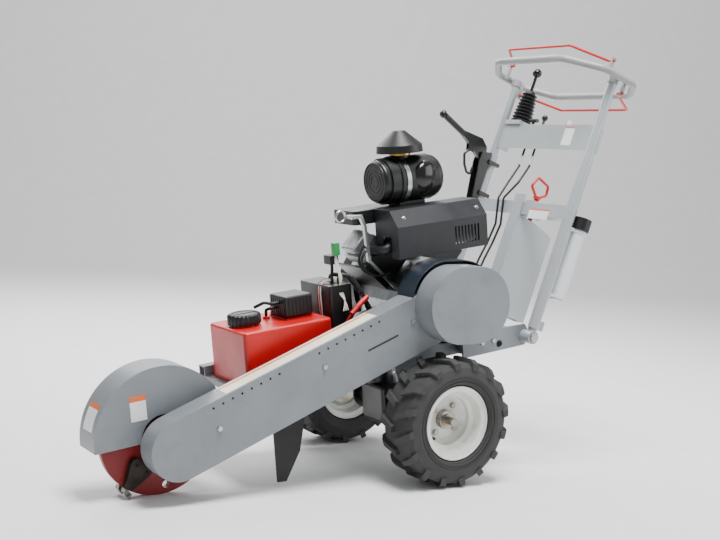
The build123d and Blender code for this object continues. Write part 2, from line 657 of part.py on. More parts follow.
def fuel_cap():
    """Ribbed screw cap over the filler neck."""
    z0 = TANK_TOP_Z + 5
    cap = rod((CAP_X, CAP_Y, z0), (CAP_X, CAP_Y, z0 + 34), CAP_RADIUS)
    cap = fillet(cap.edges().group_by(Axis.Z)[-1], 9)
    return cap - rod((CAP_X, CAP_Y, z0 - 1), (CAP_X, CAP_Y, TANK_TOP_Z + 17), CAP_RADIUS - 11.5)


def vapour_canister():
    """Black carbon canister box on the tank's bracket."""
    box = block(-398, -300, -62, 44, TANK_TOP_Z + 8, TANK_TOP_Z + 74)
    box = fillet(box.edges(), 8)
    foot = block(-380, -320, -30, 20, TANK_TOP_Z + 4.0, TANK_TOP_Z + 12)
    return box + foot


def fuel_hoses():
    """Vent hose to the cap side and supply hose down to the outlet boss."""
    z0 = TANK_TOP_Z
    face = -398.0
    vent = pipe([(face, -20, z0 + 52), (face - 24, -20, z0 + 52), (face - 50, -16, z0 + 60),
                 (CAP_X + CAP_RADIUS - 10, CAP_Y + 10, z0 + 41.5 + HOSE_RADIUS)], HOSE_RADIUS, 14)
    supply = pipe([(face, 6, z0 + 34), (face - 16, 6, z0 + 34), (CAP_X + 92, CAP_Y + 30, z0 + 28),
                   (CAP_X + 92, CAP_Y + 30, z0 + 8)], HOSE_RADIUS, 7)
    return group([vent, supply])


def battery_box():
    """Battery in its tray behind the tank."""
    case = block(-248, -168, -84, 108, DECK_TOP_Z + 3, RAIL_TOP_Z + 226)
    case = fillet(case.edges().filter_by(Axis.Z), 8)
    tray = block(-256, -160, -92, 116, DECK_TOP_Z, DECK_TOP_Z + 3)
    return case + tray


# ---- engine ---------------------------------------------------------------------------------------
def bank_frame(side):
    """Unit vectors along and across one cylinder bank; side is -1 for front, +1 for rear."""
    angle = radians(90 - side * BANK_ANGLE)
    return (cos(angle), sin(angle)), (-sin(angle), cos(angle))


def bank_point(side, along, across):
    """(x, z) of a point on a bank, from the crankshaft axis."""
    u, v = bank_frame(side)
    return (CRANK_X + u[0] * along + v[0] * across, CRANK_Z + u[1] * along + v[1] * across)


def bank_prism(side, a0, a1, c0, c1, y0, y1):
    """Box square to one cylinder bank."""
    return prism_y([bank_point(side, a0, c0), bank_point(side, a1, c0), bank_point(side, a1, c1),
                    bank_point(side, a0, c1)], y0, y1)


def engine_crankcase():
    """Cast crankcase with its drive-side face, oil sump feet, starter and oil filter."""
    outline = [(CRANK_X - 120, DECK_TOP_Z), (CRANK_X + 120, DECK_TOP_Z), (CRANK_X + 132, CRANK_Z),
               bank_point(1, BARREL_BASE, -60), bank_point(1, BARREL_BASE, 60),
               bank_point(-1, BARREL_BASE, -60), bank_point(-1, BARREL_BASE, 60), (CRANK_X - 132, CRANK_Z)]
    case = prism_y(outline, ENGINE_FACE_Y, ENGINE_END_Y)
    boss = cylinder_y(CRANK_X, CRANK_Z, ENGINE_FACE_Y - 34, ENGINE_FACE_Y + 1, 60)
    case = case + boss
    foot = block(CRANK_X - 150, CRANK_X + 150, ENGINE_FACE_Y + 20, 80, DECK_TOP_Z, DECK_TOP_Z + 12)
    case = case + foot
    case = case - cylinder_y(CRANK_X, CRANK_Z, ENGINE_FACE_Y - 40, ENGINE_FACE_Y + 40, 12.5 + RUNNING_FIT)
    case = case - cylinder_y(CRANK_X, CRANK_Z, 60, 100, 15 + RUNNING_FIT)
    starter = cylinder_y(CRANK_X + 168, CRANK_Z - 60, -40, ENGINE_END_Y, 34)
    bracket = block(CRANK_X + 100, CRANK_X + 168, 60, ENGINE_END_Y, CRANK_Z - 90, CRANK_Z - 30)
    filter_can = rod((CRANK_X - 110, -10, CRANK_Z - 60), (CRANK_X - 200, -10, CRANK_Z - 72), 36)
    return case + starter + bracket + filter_can


def engine_cylinders():
    """Two finned barrels with their heads, in a ninety-degree V."""
    banks = []
    for side, y0 in ((-1, FRONT_BANK_Y), (1, REAR_BANK_Y)):
        y1 = y0 + 96
        middle = (y0 + y1) / 2
        u, v = bank_frame(side)
        base, top = bank_point(side, BARREL_BASE, 0), bank_point(side, 250, 0)
        barrel = rod((base[0], middle, base[1]), (top[0], middle, top[1]), 38)
        for index in range(FIN_COUNT):
            a = 124 + index * FIN_PITCH
            fin = bank_prism(side, a, a + 3.5, -BORE_RADIUS, BORE_RADIUS, y0, y1)
            barrel = barrel + fin
        head = bank_prism(side, 228, 262, -46, 46, y0 + 4, y1 - 4)
        banks.append(barrel + head)
    return group(banks)


def valve_covers():
    """Pressed rocker covers closing both heads."""
    covers = []
    for side, y0 in ((-1, FRONT_BANK_Y), (1, REAR_BANK_Y)):
        cover = bank_prism(side, 262, 292, -40, 40, y0 + 8, y0 + 88)
        covers.append(fillet(cover.edges(), 7))
    return group(covers)


def blower_housing():
    """Black blower housing: fan shroud, the wraps over both banks and the box on top."""
    shroud = cylinder_y(CRANK_X, CRANK_Z + 14, 100, ENGINE_BACK_Y + 40, 150)
    shroud = shroud - cylinder_y(CRANK_X, CRANK_Z + 14, 99, ENGINE_BACK_Y + 36, 146)
    shroud = shroud - cylinder_y(CRANK_X, CRANK_Z, 90, ENGINE_BACK_Y + 60, 92)
    back = cylinder_y(CRANK_X, CRANK_Z + 14, ENGINE_END_Y + SEAT_GAP, 101, 150)
    back = back - cylinder_y(CRANK_X, CRANK_Z, 90, 110, 26)
    housing = shroud + back
    for side, y0, y1 in ((-1, -70.0, 101.0), (1, -44.0, 101.0)):
        wrap = bank_prism(side, 116, 226, -side * 58, -side * 64, y0, y1)
        far_wrap = bank_prism(side, 150, 226, side * 58, side * 64, y0, y1)
        wall = bank_prism(side, 116, 226, -64, 64, y0, y0 + 4)
        housing = housing + wrap + far_wrap + wall
    return housing


def intake_plenum():
    """Flat plenum above the banks, carried by the carburettor and manifold in the V."""
    box = block(PLENUM_X0, PLENUM_X1, -66, 66, PLENUM_Z, PLENUM_TOP_Z)
    box = fillet(box.edges().filter_by(Axis.Z), 14)
    manifold = block(CRANK_X - 18, CRANK_X + 18, -40, 40, bank_point(1, BARREL_BASE, 60)[1], CRANK_Z + 128)
    body = block(CRANK_X - 38, CRANK_X + 38, -26, 26, CRANK_Z + 128, CRANK_Z + 178)
    throat = rod((CRANK_X, 0, CRANK_Z + 178), (CRANK_X, 0, PLENUM_Z), 24)
    return group([box, manifold + body + throat])


def flywheel_fan():
    """Flywheel with cooling fan blades on the crankshaft's far end."""
    y0 = 108.0
    wheel = cylinder_y(CRANK_X, CRANK_Z, y0, y0 + 26, 86)
    stub = cylinder_y(CRANK_X, CRANK_Z, 62, y0 + 44, 15)
    blades = wheel + stub
    for index in range(FAN_BLADES):
        angle = 360.0 * index / FAN_BLADES
        blade = block(CRANK_X + 36, CRANK_X + 84, y0 + 24, y0 + 52, CRANK_Z - 2, CRANK_Z + 2)
        blades = blades + blade.rotate(Axis((CRANK_X, 0, CRANK_Z), (0, 1, 0)), angle)
    return blades


def muffler():
    """Cylindrical silencer along the engine with its two header pipes."""
    can = rod((GUARD_X0 + 22, MUFFLER_Y, MUFFLER_Z), (GUARD_X1 - 22, MUFFLER_Y, MUFFLER_Z), MUFFLER_RADIUS)
    px, pz = bank_point(-1, 244, 0)
    front = pipe([(px, FRONT_BANK_Y + 4, pz), (px, MUFFLER_Y, pz), (GUARD_X0 + 30, MUFFLER_Y, pz + 20)],
                 HEADER_RADIUS, 20)
    qx, qz = bank_point(1, 244, 0)
    rear = pipe([(qx, REAR_BANK_Y + 4, qz), (qx, -88, qz), (qx - 40, MUFFLER_Y + 4, qz + 24)],
                HEADER_RADIUS, 20)
    outlet = rod((GUARD_X1 - 24, MUFFLER_Y, MUFFLER_Z + 8), (GUARD_X1 + 26, MUFFLER_Y, MUFFLER_Z + 8),
                 OUTLET_RADIUS)
    for x in (GUARD_X0 + 90, GUARD_X1 - 90):
        can = can + block(x, x + 24, MUFFLER_Y - 10, MUFFLER_Y + 10, MUFFLER_Z + 30,
                          GUARD_TOP_Z - SHEET - SEAT_GAP)
    can = can + front + rear + outlet
    return can - rod((GUARD_X1 - 10, MUFFLER_Y, MUFFLER_Z + 8), (GUARD_X1 + 27, MUFFLER_Y, MUFFLER_Z + 8),
                     OUTLET_BORE_RADIUS)


def muffler_guard():
    """Folded heat guard with a sloping outer face, open underneath."""
    roof = GUARD_TOP_Z - SHEET
    outer = [(-72, 706), (-72, GUARD_TOP_Z), (-158, GUARD_TOP_Z), (-200, 806), (-200, 706)]
    inner = [(-75, 690), (-75, roof), (-156.5, roof), (-197, 805), (-197, 690)]
    guard = prism_x(outer, GUARD_X0, GUARD_X1) - prism_x(inner, GUARD_X0 + 3, GUARD_X1 - 3)
    for index in range(8):
        x = GUARD_X1 - 40 - index * 13
        guard = guard - block(x, x + 6, -205, -190, 726, 782)
    tail = rod((GUARD_X1 - 10, MUFFLER_Y, MUFFLER_Z + 8), (GUARD_X1 + 10, MUFFLER_Y, MUFFLER_Z + 8),
               OUTLET_RADIUS + 2)
    header_room = block(GUARD_X0 - 1, GUARD_X0 + 4, MUFFLER_Y - 24, MUFFLER_Y + 24, 700, MUFFLER_Z + 10)
    back_room = block(GUARD_X0 + 3, GUARD_X1 - 3, -80, -70, 700, 800)
    return guard - tail - header_room - back_room


def air_cleaner():
    """Heavy-duty canister air cleaner lying fore and aft, with its saddle and outlet elbow."""
    body = rod((AIR_X - 92, AIR_Y, AIR_Z), (AIR_X + 82, AIR_Y, AIR_Z), AIR_RADIUS)
    dome = rod((AIR_X + 80, AIR_Y, AIR_Z), (AIR_X + 118, AIR_Y, AIR_Z), AIR_RADIUS - 4)
    dome = fillet(dome.edges().group_by(Axis.X)[-1], 26)
    bead = rod((AIR_X - 56, AIR_Y, AIR_Z), (AIR_X - 44, AIR_Y, AIR_Z), AIR_RADIUS + 4)
    lid = rod((AIR_X - 116, AIR_Y, AIR_Z), (AIR_X - 90, AIR_Y, AIR_Z), AIR_RADIUS - 6)
    lid = fillet(lid.edges().group_by(Axis.X)[0], 12)
    inlet = rod((AIR_X - 12, AIR_Y, AIR_Z), (AIR_X - 12, AIR_Y, AIR_Z + AIR_RADIUS + 12), 28)
    cleaner = body + dome + bead + lid + inlet
    saddle = block(AIR_X - 40, AIR_X + 60, AIR_Y - 24, AIR_Y + 44, PLENUM_TOP_Z, AIR_Z - 40)
    saddle = saddle - rod((AIR_X - 200, AIR_Y, AIR_Z), (AIR_X + 200, AIR_Y, AIR_Z), AIR_RADIUS + 0.2)
    return group([cleaner, saddle])


def rain_cap():
    """Mushroom rain cap on the air cleaner's inlet, with its band clamp."""
    x, z = AIR_X - 12, AIR_Z + AIR_RADIUS + 12
    skirt = cone((x, AIR_Y, z), (x, AIR_Y, z + 24), 76, 74)
    roof = cone((x, AIR_Y, z + 24), (x, AIR_Y, z + 70), 74, 20)
    hollow = rod((x, AIR_Y, z - 1), (x, AIR_Y, z + 20), 71)
    neck = rod((x, AIR_Y, z - 11.5), (x, AIR_Y, z + 26), 32)
    neck = neck - rod((x, AIR_Y, z - 23), (x, AIR_Y, z + 0.3), 28.3)
    return ((skirt + roof) - hollow) + neck


def lifting_strap():
    """Plated lifting strap from the plenum's front down to the crankcase, with its ring."""
    ring = Plane(origin=(PLENUM_X0 - 47, -60, 846), z_dir=(0, 1, 0)) * Torus(17, 4)
    tongue = block(PLENUM_X0 - 30, PLENUM_X0, -100, -54, 838, 848)
    strap = prism_y([(PLENUM_X0 + 12, 838), (PLENUM_X0 + 22, 812), (PLENUM_X0 + 30, 700), (-6, 600),
                     (-6, 586), (PLENUM_X0 + 20, 698), (PLENUM_X0 + 12, 812), (PLENUM_X0, 838),
                     (PLENUM_X0, 848), (PLENUM_X0 + 8, 848)], -100, -88)
    return (ring + tongue + strap) - engine_crankcase()


def engine_wiring():
    """Wiring harness from the battery to the engine, with its connector and battery cable."""
    top = RAIL_TOP_Z + 226
    loom = pipe([(-200, -60, top), (-200, -60, top + 28), (-176, -100, top + 24), (-150, -112, 610),
                 (-136, -112, 560), (-100, -106, 500), (-96, -104, 462),
                 (-96, -104, DECK_TOP_Z)], 6, 12)
    connector = block(-214, -184, -40, 0, top + 60, top + 88)
    tail = pipe([(-198, -20, top + 60), (-198, -20, top + 42), (-206, -28, top + 20), (-206, -28, top)],
                5, 8)
    cable = pipe([(-184, 20, top), (-184, 20, top + 20), (-150, -30, top + 16), (-128, -70, 600),
                  (-104, -84, 540), (-100, -84, 470), (-100, -84, DECK_TOP_Z)], 7, 14)
    return group([loom, connector, tail, cable])


# ---- wheels ---------------------------------------------------------------------------------------
def tyre_body(side):
    """Carcass and chevron lugs of one tyre, wheel centre at the axle."""
    inner, outer = TYRE_INNER_Y, TYRE_INNER_Y + TYRE_WIDTH
    carcass = TYRE_RADIUS - LUG_DEPTH
    over_flange = RIM_RADIUS + 1
    profile = [(inner + 21, BEAD_RADIUS), (inner + 21, over_flange), (inner + 7, over_flange + 6),
               (inner, BEAD_RADIUS + 48), (inner + 4, carcass - 14), (inner + 16, carcass),
               (outer - 16, carcass), (outer - 4, carcass - 14), (outer, BEAD_RADIUS + 48),
               (outer - 7, over_flange + 6), (outer - 21, over_flange), (outer - 21, BEAD_RADIUS),
               (outer - 34, BEAD_RADIUS), (outer - 30, over_flange + 6), (outer - 24, BEAD_RADIUS + 44),
               (outer - 30, carcass - 14), (inner + 30, carcass - 14), (inner + 24, BEAD_RADIUS + 44),
               (inner + 30, over_flange + 6), (inner + 34, BEAD_RADIUS)]
    tyre = revolve_y(0, TYRE_RADIUS, [(side * y, r) for y, r in profile])
    middle = (inner + outer) / 2
    envelope = revolve_y(0, TYRE_RADIUS, [(side * (inner - 2), carcass - 20), (side * (inner - 2), carcass),
                                          (side * (inner + 14), TYRE_RADIUS),
                                          (side * (outer - 14), TYRE_RADIUS),
                                          (side * (outer + 2), carcass),
                                          (side * (outer + 2), carcass - 20)])
    lugs = []
    for index in range(LUGS_PER_SIDE):
        step = 360.0 / LUGS_PER_SIDE
        for half in (0, 1):
            y_in = middle - 4 if half else middle + 4
            y_out = inner - 1 if half else outer + 1
            top = TYRE_RADIUS + 2
            low = carcass - 3
            foot = [(-8, side * y_in, TYRE_RADIUS + low), (10, side * y_in, TYRE_RADIUS + low),
                    (42, side * y_out, TYRE_RADIUS + low - 18), (20, side * y_out, TYRE_RADIUS + low - 18)]
            lug = prism(foot, (0, 0, top - low + 18))
            angle = step * (index + 0.5 * half) + stance_angle()
            lugs.append(lug.rotate(Axis((0, 0, TYRE_RADIUS), (0, 1, 0)), -angle))
    trimmed = []
    for lug in lugs:
        trimmed.extend((lug & envelope).solids())
    return tyre.fuse(*trimmed)


def wheel_rim(side):
    """Pressed steel rim: drop-centre barrel and dished disc with a centre hole."""
    inner, outer = TYRE_INNER_Y + 12, TYRE_INNER_Y + TYRE_WIDTH - 12
    r = BEAD_RADIUS
    face = outer - RIM_DISH_DEPTH
    profile = [(inner, RIM_RADIUS), (inner + 8, RIM_RADIUS), (inner + 8.4, r - 0.3), (inner + 36, r - 8),
               (inner + 44, r - 20), (outer - 44, r - 20), (outer - 36, r - 8), (outer - 8.4, r - 0.3),
               (outer - 8, RIM_RADIUS), (outer, RIM_RADIUS), (outer, RIM_RADIUS - 3),
               (outer - 5, RIM_RADIUS - 4),
               (outer - 8, r - 4), (outer - 38, r - 12), (outer - 46, r - 24), (inner + 46, r - 24),
               (inner + 38, r - 12), (inner + 8, r - 4), (inner + 5, RIM_RADIUS - 4),
               (inner, RIM_RADIUS - 3)]
    rim = revolve_y(0, TYRE_RADIUS, [(side * y, radius) for y, radius in profile])
    dish = [(face, 20), (face + 4, 20), (face + 4, r - 40), (face + 18, r - 22), (face + 14, r - 21),
            (face, r - 38)]
    rim = rim + revolve_y(0, TYRE_RADIUS, [(side * y, radius) for y, radius in dish])
    for index in range(LUG_BOLTS):
        x, z = polar(LUG_BOLT_CIRCLE / 2, 45 + index * 90, 0, TYRE_RADIUS)
        rim = rim - cylinder_y(x, z, side * (face - 5), side * (face + 30), 6.2)
    return rim


def axle_hub(side):
    """Half axle from the gearbox with its bolted hub flange, lug bolts and end."""
    face = TYRE_INNER_Y + TYRE_WIDTH - 12 - RIM_DISH_DEPTH
    shaft = cylinder_y(0, TYRE_RADIUS, side * 3, side * (face + 62), AXLE_RADIUS)
    boss = cylinder_y(0, TYRE_RADIUS, side * (face - 40), side * (face + 30), 19.5)
    collar = cylinder_y(0, TYRE_RADIUS, side * (face + 4), side * (face + 26), HUB_RADIUS)
    flange = cylinder_y(0, TYRE_RADIUS, side * (face - 8), side * face, LUG_BOLT_CIRCLE / 2 + 14)
    hub = shaft + boss + collar + flange
    bolts = []
    for index in range(LUG_BOLTS):
        x, z = polar(LUG_BOLT_CIRCLE / 2, 45 + index * 90, 0, TYRE_RADIUS)
        bolt = hex_bolt(x, side * (face + 4), z, side, 8.0, 9.0)
        hub = hub + (bolt + cylinder_y(x, z, side * (face - 4), side * (face + 5), 5.8))
    return hub


# ---- handlebar ------------------------------------------------------------------------------------
def handlebar_frame():
    """Two leaning tubes with pivot eyes, sleeves and a square crossbar that carries the pin sleeve."""
    bar = handle_block(CROSSBAR_S, CROSSBAR_S + CROSSBAR, CROSSBAR_P, CROSSBAR_P + CROSSBAR,
                       -HANDLE_HALF_WIDTH, HANDLE_HALF_WIDTH)
    inside = handle_block(CROSSBAR_S + 3, CROSSBAR_S + CROSSBAR - 3, CROSSBAR_P + 3,
                          CROSSBAR_P + CROSSBAR - 3,
                          -HANDLE_HALF_WIDTH - 1, HANDLE_HALF_WIDTH + 1)
    frame = bar - inside
    for side in (-1, 1):
        y = side * HANDLE_HALF_WIDTH
        tube = handle_rod((14, 0, y), (HANDLE_LENGTH - 12, 0, y), TUBE_RADIUS)
        sleeve = handle_rod((30, 0, y), (634, 0, y), SLEEVE_RADIUS)
        eye = cylinder_y(PIVOT_X, PIVOT_Z, side * (HANDLE_PLATE_Y + 1), side * (HANDLE_HALF_WIDTH + 16), 22)
        tab = handle_block(30, 62, 4, 40, y - 4, y + 4)
        frame = frame + tube + sleeve + eye + tab
        frame = frame - cylinder_y(PIVOT_X, PIVOT_Z, -300, 300, PIVOT_BOLT_RADIUS + RUNNING_FIT)
    sleeve_y = PIN_Y
    p0 = CROSSBAR_P + CROSSBAR
    socket = handle_block(CROSSBAR_S + 6, PIN_SOCKET_TOP_S, p0 - 1, p0 + 46, sleeve_y - 23, sleeve_y + 23)
    frame = frame + socket
    return frame - handle_rod((CROSSBAR_S - 10, PIN_P, sleeve_y), (CROSSBAR_S + 90, PIN_P, sleeve_y),
                              PIN_RADIUS + RUNNING_FIT)


def pivot_bolts():
    """Pivot bolts of the handlebar, with the frame and boom fasteners."""
    solids = []
    for side in (-1, 1):
        shank = cylinder_y(PIVOT_X, PIVOT_Z, side * (HANDLE_PLATE_Y - 20), side * (HANDLE_HALF_WIDTH + 17),
                           PIVOT_BOLT_RADIUS)
        head = cylinder_y(PIVOT_X, PIVOT_Z, side * (HANDLE_HALF_WIDTH + 17),
                          side * (HANDLE_HALF_WIDTH + 25), 15)
        nut = cylinder_y(PIVOT_X, PIVOT_Z, side * (HANDLE_PLATE_Y - 20), side * (HANDLE_PLATE_Y - 8), 15)
        solids.append(shank + head + nut)
        for x in (229, 275):
            solids.append(hex_bolt(x, side * HANDLE_PLATE_Y, RAIL_TOP_Z - 18, side, 7, 6))
    for x, offset in ((-745, 6), (-385, 22), (-62, 20)):
        bx, bz = along_boom(x, offset)
        solids.append(hex_bolt(bx, BOOM_OUTER_Y, bz, -1, 7, 5))
    return group(solids)


def quadrant_column():
    """Boxed column with an arc-shaped top concentric with the handlebar's pivot and pin holes in it."""
    half = COLUMN_WIDTH / 2
    outline = [(60, COLUMN_FRONT_P), (QUADRANT_RADIUS + 30, COLUMN_FRONT_P),
               (QUADRANT_RADIUS + 30, COLUMN_REAR_P), (60, COLUMN_REAR_P)]
    box = handle_prism(outline, PIN_Y - half, PIN_Y + half)
    drum = cylinder_y(PIVOT_X, PIVOT_Z, PIN_Y - half - 1, PIN_Y + half + 1, QUADRANT_RADIUS)
    box = box & drum
    core_drum = cylinder_y(PIVOT_X, PIVOT_Z, PIN_Y - half + 4, PIN_Y + half - 4, QUADRANT_RADIUS - 10)
    p0, p1 = COLUMN_FRONT_P + 4, COLUMN_REAR_P - 4
    core = handle_prism([(40, p0), (QUADRANT_RADIUS, p0), (QUADRANT_RADIUS, p1), (40, p1)],
                        PIN_Y - half + 4, PIN_Y + half - 4)
    box = box - (core & core_drum)
    front = handle_block(60, QUADRANT_RADIUS + 78, COLUMN_FRONT_P - 6, COLUMN_FRONT_P + 0.5,
                         PIN_Y - half, PIN_Y + half)
    column = box + front
    for index in range(LOCK_HOLES):
        angle = degrees(atan(PIN_P / CROSSBAR_S)) + index * LOCK_STEP
        start = (QUADRANT_RADIUS - 30) * cos(radians(angle)), (QUADRANT_RADIUS - 30) * sin(radians(angle))
        end = (QUADRANT_RADIUS + 30) * cos(radians(angle)), (QUADRANT_RADIUS + 30) * sin(radians(angle))
        column = column - handle_rod((start[0], start[1], PIN_Y), (end[0], end[1], PIN_Y), PIN_RADIUS + 2.5)
    foot = prism_y([(FRAME_REAR_X - 60, DECK_TOP_Z), (FRAME_REAR_X - 2, DECK_TOP_Z),
                    (FRAME_REAR_X + 118, RAIL_TOP_Z + 130),
                    (FRAME_REAR_X + 60, RAIL_TOP_Z + 130)],
                   PIN_Y - half - 6, PIN_Y - half)
    mirror_foot = foot.translate(Vector(0, COLUMN_WIDTH + 6, 0))
    return column + foot + mirror_foot


def lock_pin():
    """Sprung red pull pin with its loop handle."""
    pin = handle_rod((CROSSBAR_S - 7, PIN_P, PIN_Y), (CROSSBAR_S + 84, PIN_P, PIN_Y), PIN_RADIUS)
    collar = handle_rod((PIN_SOCKET_TOP_S + PIN_TRAVEL + 0.5, PIN_P, PIN_Y),
                        (CROSSBAR_S + 88, PIN_P, PIN_Y), 14)
    s0 = CROSSBAR_S + 86
    loop = [(s0, PIN_P - 8), (s0 + 30, PIN_P - 40), (s0 + 66, PIN_P - 22), (s0 + 52, PIN_P + 34),
            (s0 + 18, PIN_P + 36), (s0, PIN_P + 8)]
    wire = pipe([handle_point(s, p, PIN_Y) for s, p in loop], 5, 11)
    return pin + collar + wire


def handle_ring():
    """Closed ring handle square to the tubes, with the four bail ears."""
    half = [(-172, 168), (-70, 284), (60, 288), (150, 190)]
    points = [handle_point(HANDLE_LENGTH, p, y) for p, y in half]
    points += [handle_point(HANDLE_LENGTH, p, -y) for p, y in reversed(half)]
    path = FilletPolyline(*points, radius=60, close=True)
    section = Plane(origin=path @ 0, z_dir=path % 0) * Circle(RING_TUBE_RADIUS)
    ring = sweep(section, path=path)
    for side in (-1, 1):
        y = side * HANDLE_HALF_WIDTH
        socket = handle_rod((HANDLE_LENGTH - 22, 0, y), (HANDLE_LENGTH + 2, 0, y), TUBE_RADIUS + 3)
        socket = socket - handle_rod((HANDLE_LENGTH - 23, 0, y), (HANDLE_LENGTH - 11.7, 0, y),
                                     TUBE_RADIUS + 0.3)
        link = handle_rod((HANDLE_LENGTH, 0, y), (HANDLE_LENGTH, 0, side * 286), 9)
        ear = handle_block(HANDLE_LENGTH - 4, BAIL_UPPER_S + 12, -46, -34, side * 262, side * 270)
        brace = handle_block(HANDLE_LENGTH - 6, HANDLE_LENGTH + 6, -46, -34, side * 262, side * 288)
        low_ear = handle_block(BAIL_LOWER_S - 12, HANDLE_LENGTH + 4, 34, 46, side * 262, side * 270)
        low_brace = handle_block(HANDLE_LENGTH - 6, HANDLE_LENGTH + 6, 34, 46, side * 262, side * 288)
        upper_hole = handle_rod((BAIL_UPPER_S, -40, side * 255), (BAIL_UPPER_S, -40, side * 275), 5.1)
        lower_hole = handle_rod((BAIL_LOWER_S, 40, side * 255), (BAIL_LOWER_S, 40, side * 275), 5.1)
        ring = ring + socket + link + (ear + brace - upper_hole) + (low_ear + low_brace - lower_hole)
    return ring


def bail(s_pivot, s_bar, p_pivot, p_bar, y_bar):
    """U-shaped control rod whose inturned ends pivot in the ring's ears."""
    half = [(s_pivot, p_pivot, 278), (s_pivot, p_pivot, 246), (s_bar, p_bar, y_bar)]
    points = [handle_point(*p) for p in half]
    points += [handle_point(s, p, -y) for s, p, y in reversed(half)]
    return pipe(points, BAIL_ROD_RADIUS, 12)


def upper_bail():
    """Front control bail, above the ring's front bar."""
    return bail(BAIL_UPPER_S, HANDLE_LENGTH + 56, -40, -150, 160)


def lower_bail():
    """Rear control bail, below the ring's rear bar."""
    return bail(BAIL_LOWER_S, HANDLE_LENGTH - 44, 40, 176, 170)


def console_panel():
    """Folded control panel between the tubes, with the joystick plinth at its far end."""
    inner = HANDLE_HALF_WIDTH - TUBE_RADIUS - SEAT_GAP
    s1 = PANEL_TOP_S
    outer = handle_block(PANEL_S, s1, -6, 46, -inner, inner)
    cavity = handle_block(PANEL_S - 1, s1 - SHEET, -3, 47, -inner + 3, inner - 3)
    panel = outer - cavity
    plinth = handle_block(s1 - 1, s1 + 14, -14, 62, JOYSTICK_Y - 42, JOYSTICK_Y + 42)
    panel = panel + plinth
    for side in (-1, 1):
        y = side * HANDLE_HALF_WIDTH
        tube_room = handle_rod((PANEL_S - 5, 0, y), (s1 + 20, 0, y), TUBE_RADIUS + SEAT_GAP)
        panel = panel - tube_room
    panel = panel - handle_rod((s1 - 10, JOYSTICK_P, JOYSTICK_Y), (s1 + 20, JOYSTICK_P, JOYSTICK_Y),
                               JOYSTICK_SOCKET_RADIUS)
    for y, radius in ((CHOKE_Y, 5.0 + RUNNING_FIT), (KEY_Y, 9.0 + RUNNING_FIT)):
        panel = panel - handle_rod((s1 - 6, CONTROL_P, y), (s1 + 2, CONTROL_P, y), radius)
    slot = handle_block(s1 - 6, s1 + 2, CONTROL_P - 24, CONTROL_P + 24, THROTTLE_Y - 3, THROTTLE_Y + 3)
    pin_x, pin_z = handle_xz(THROTTLE_PIVOT_S, CONTROL_P)
    hanger = cylinder_y(pin_x, pin_z, THROTTLE_Y - 13, THROTTLE_Y + 13, THROTTLE_PIN_RADIUS)
    for y in (THROTTLE_Y - 13, THROTTLE_Y + 9):
        hanger = hanger + handle_block(s1 - 28, s1 - SHEET, CONTROL_P - 8, CONTROL_P + 8, y, y + 4)
    return (panel - slot) + hanger


def joystick_lever():
    """Directional control lever with its ball knob, rising through the bellows."""
    foot = ball(handle_point(PANEL_TOP_S + 2, JOYSTICK_P, JOYSTICK_Y), JOYSTICK_SOCKET_RADIUS - SEAT_GAP)
    stem = handle_rod((PANEL_TOP_S + 2, JOYSTICK_P, JOYSTICK_Y),
                      (PANEL_TOP_S + 204, JOYSTICK_P, JOYSTICK_Y), 6)
    knob = ball(handle_point(PANEL_TOP_S + 214, JOYSTICK_P, JOYSTICK_Y), 17)
    return foot + stem + knob


def joystick_bellows():
    """Pleated rubber gaiter over the joystick's foot."""
    points = []
    for index in range(BELLOWS_PLEATS):
        s = PANEL_TOP_S + 15 + index * BELLOWS_PITCH
        crest = 40 - index * 1.3
        points.append((s, crest - 9))
        points.append((s + BELLOWS_PITCH / 2, crest))
    top = PANEL_TOP_S + 15 + BELLOWS_PLEATS * BELLOWS_PITCH
    points += [(top, 18), (top + 8, 14), (top + 8, 8), (PANEL_TOP_S + 15, 8)]
    base = handle_point(0, JOYSTICK_P, JOYSTICK_Y)
    axis = Vector(*handle_point(1, JOYSTICK_P, JOYSTICK_Y)) - Vector(*base)
    frame = Plane(origin=base, x_dir=(0, 1, 0), z_dir=axis)
    corners = [frame.from_local_coords(Vector(r, 0, s)) for s, r in points]
    face = Face(Wire.make_polygon(corners, close=True))
    return revolve(face, Axis(base, axis), 360)


def choke_knob():
    """Pull knob with a crosspiece."""
    stem = handle_rod((CHOKE_STEM_S, CONTROL_P, CHOKE_Y), (PANEL_TOP_S + 22, CONTROL_P, CHOKE_Y), 5)
    cross = handle_rod((PANEL_TOP_S + 24, CONTROL_P, CHOKE_Y - 20),
                       (PANEL_TOP_S + 24, CONTROL_P, CHOKE_Y + 20), 7)
    return stem + cross


def throttle_lever():
    """Throttle lever with a ball end, swinging fore and aft in its slot."""
    x, z = handle_xz(THROTTLE_PIVOT_S, CONTROL_P)
    pivot = cylinder_y(x, z, THROTTLE_Y - 8, THROTTLE_Y + 8, THROTTLE_BOSS_RADIUS)
    arm = handle_block(THROTTLE_PIVOT_S, PANEL_TOP_S + 26, CONTROL_P - 5, CONTROL_P + 5,
                       THROTTLE_Y - 1.5, THROTTLE_Y + 1.5)
    knob = ball(handle_point(PANEL_TOP_S + 34, CONTROL_P, THROTTLE_Y), 11)
    pivot_hole = cylinder_y(x, z, THROTTLE_Y - 9, THROTTLE_Y + 9, THROTTLE_PIN_RADIUS + RUNNING_FIT)
    return pivot + arm + knob - pivot_hole


def handle_xz(s, p):
    """(x, z) of a point of the handlebar's frame."""
    x, _, z = handle_point(s, p, 0)
    return (x, z)


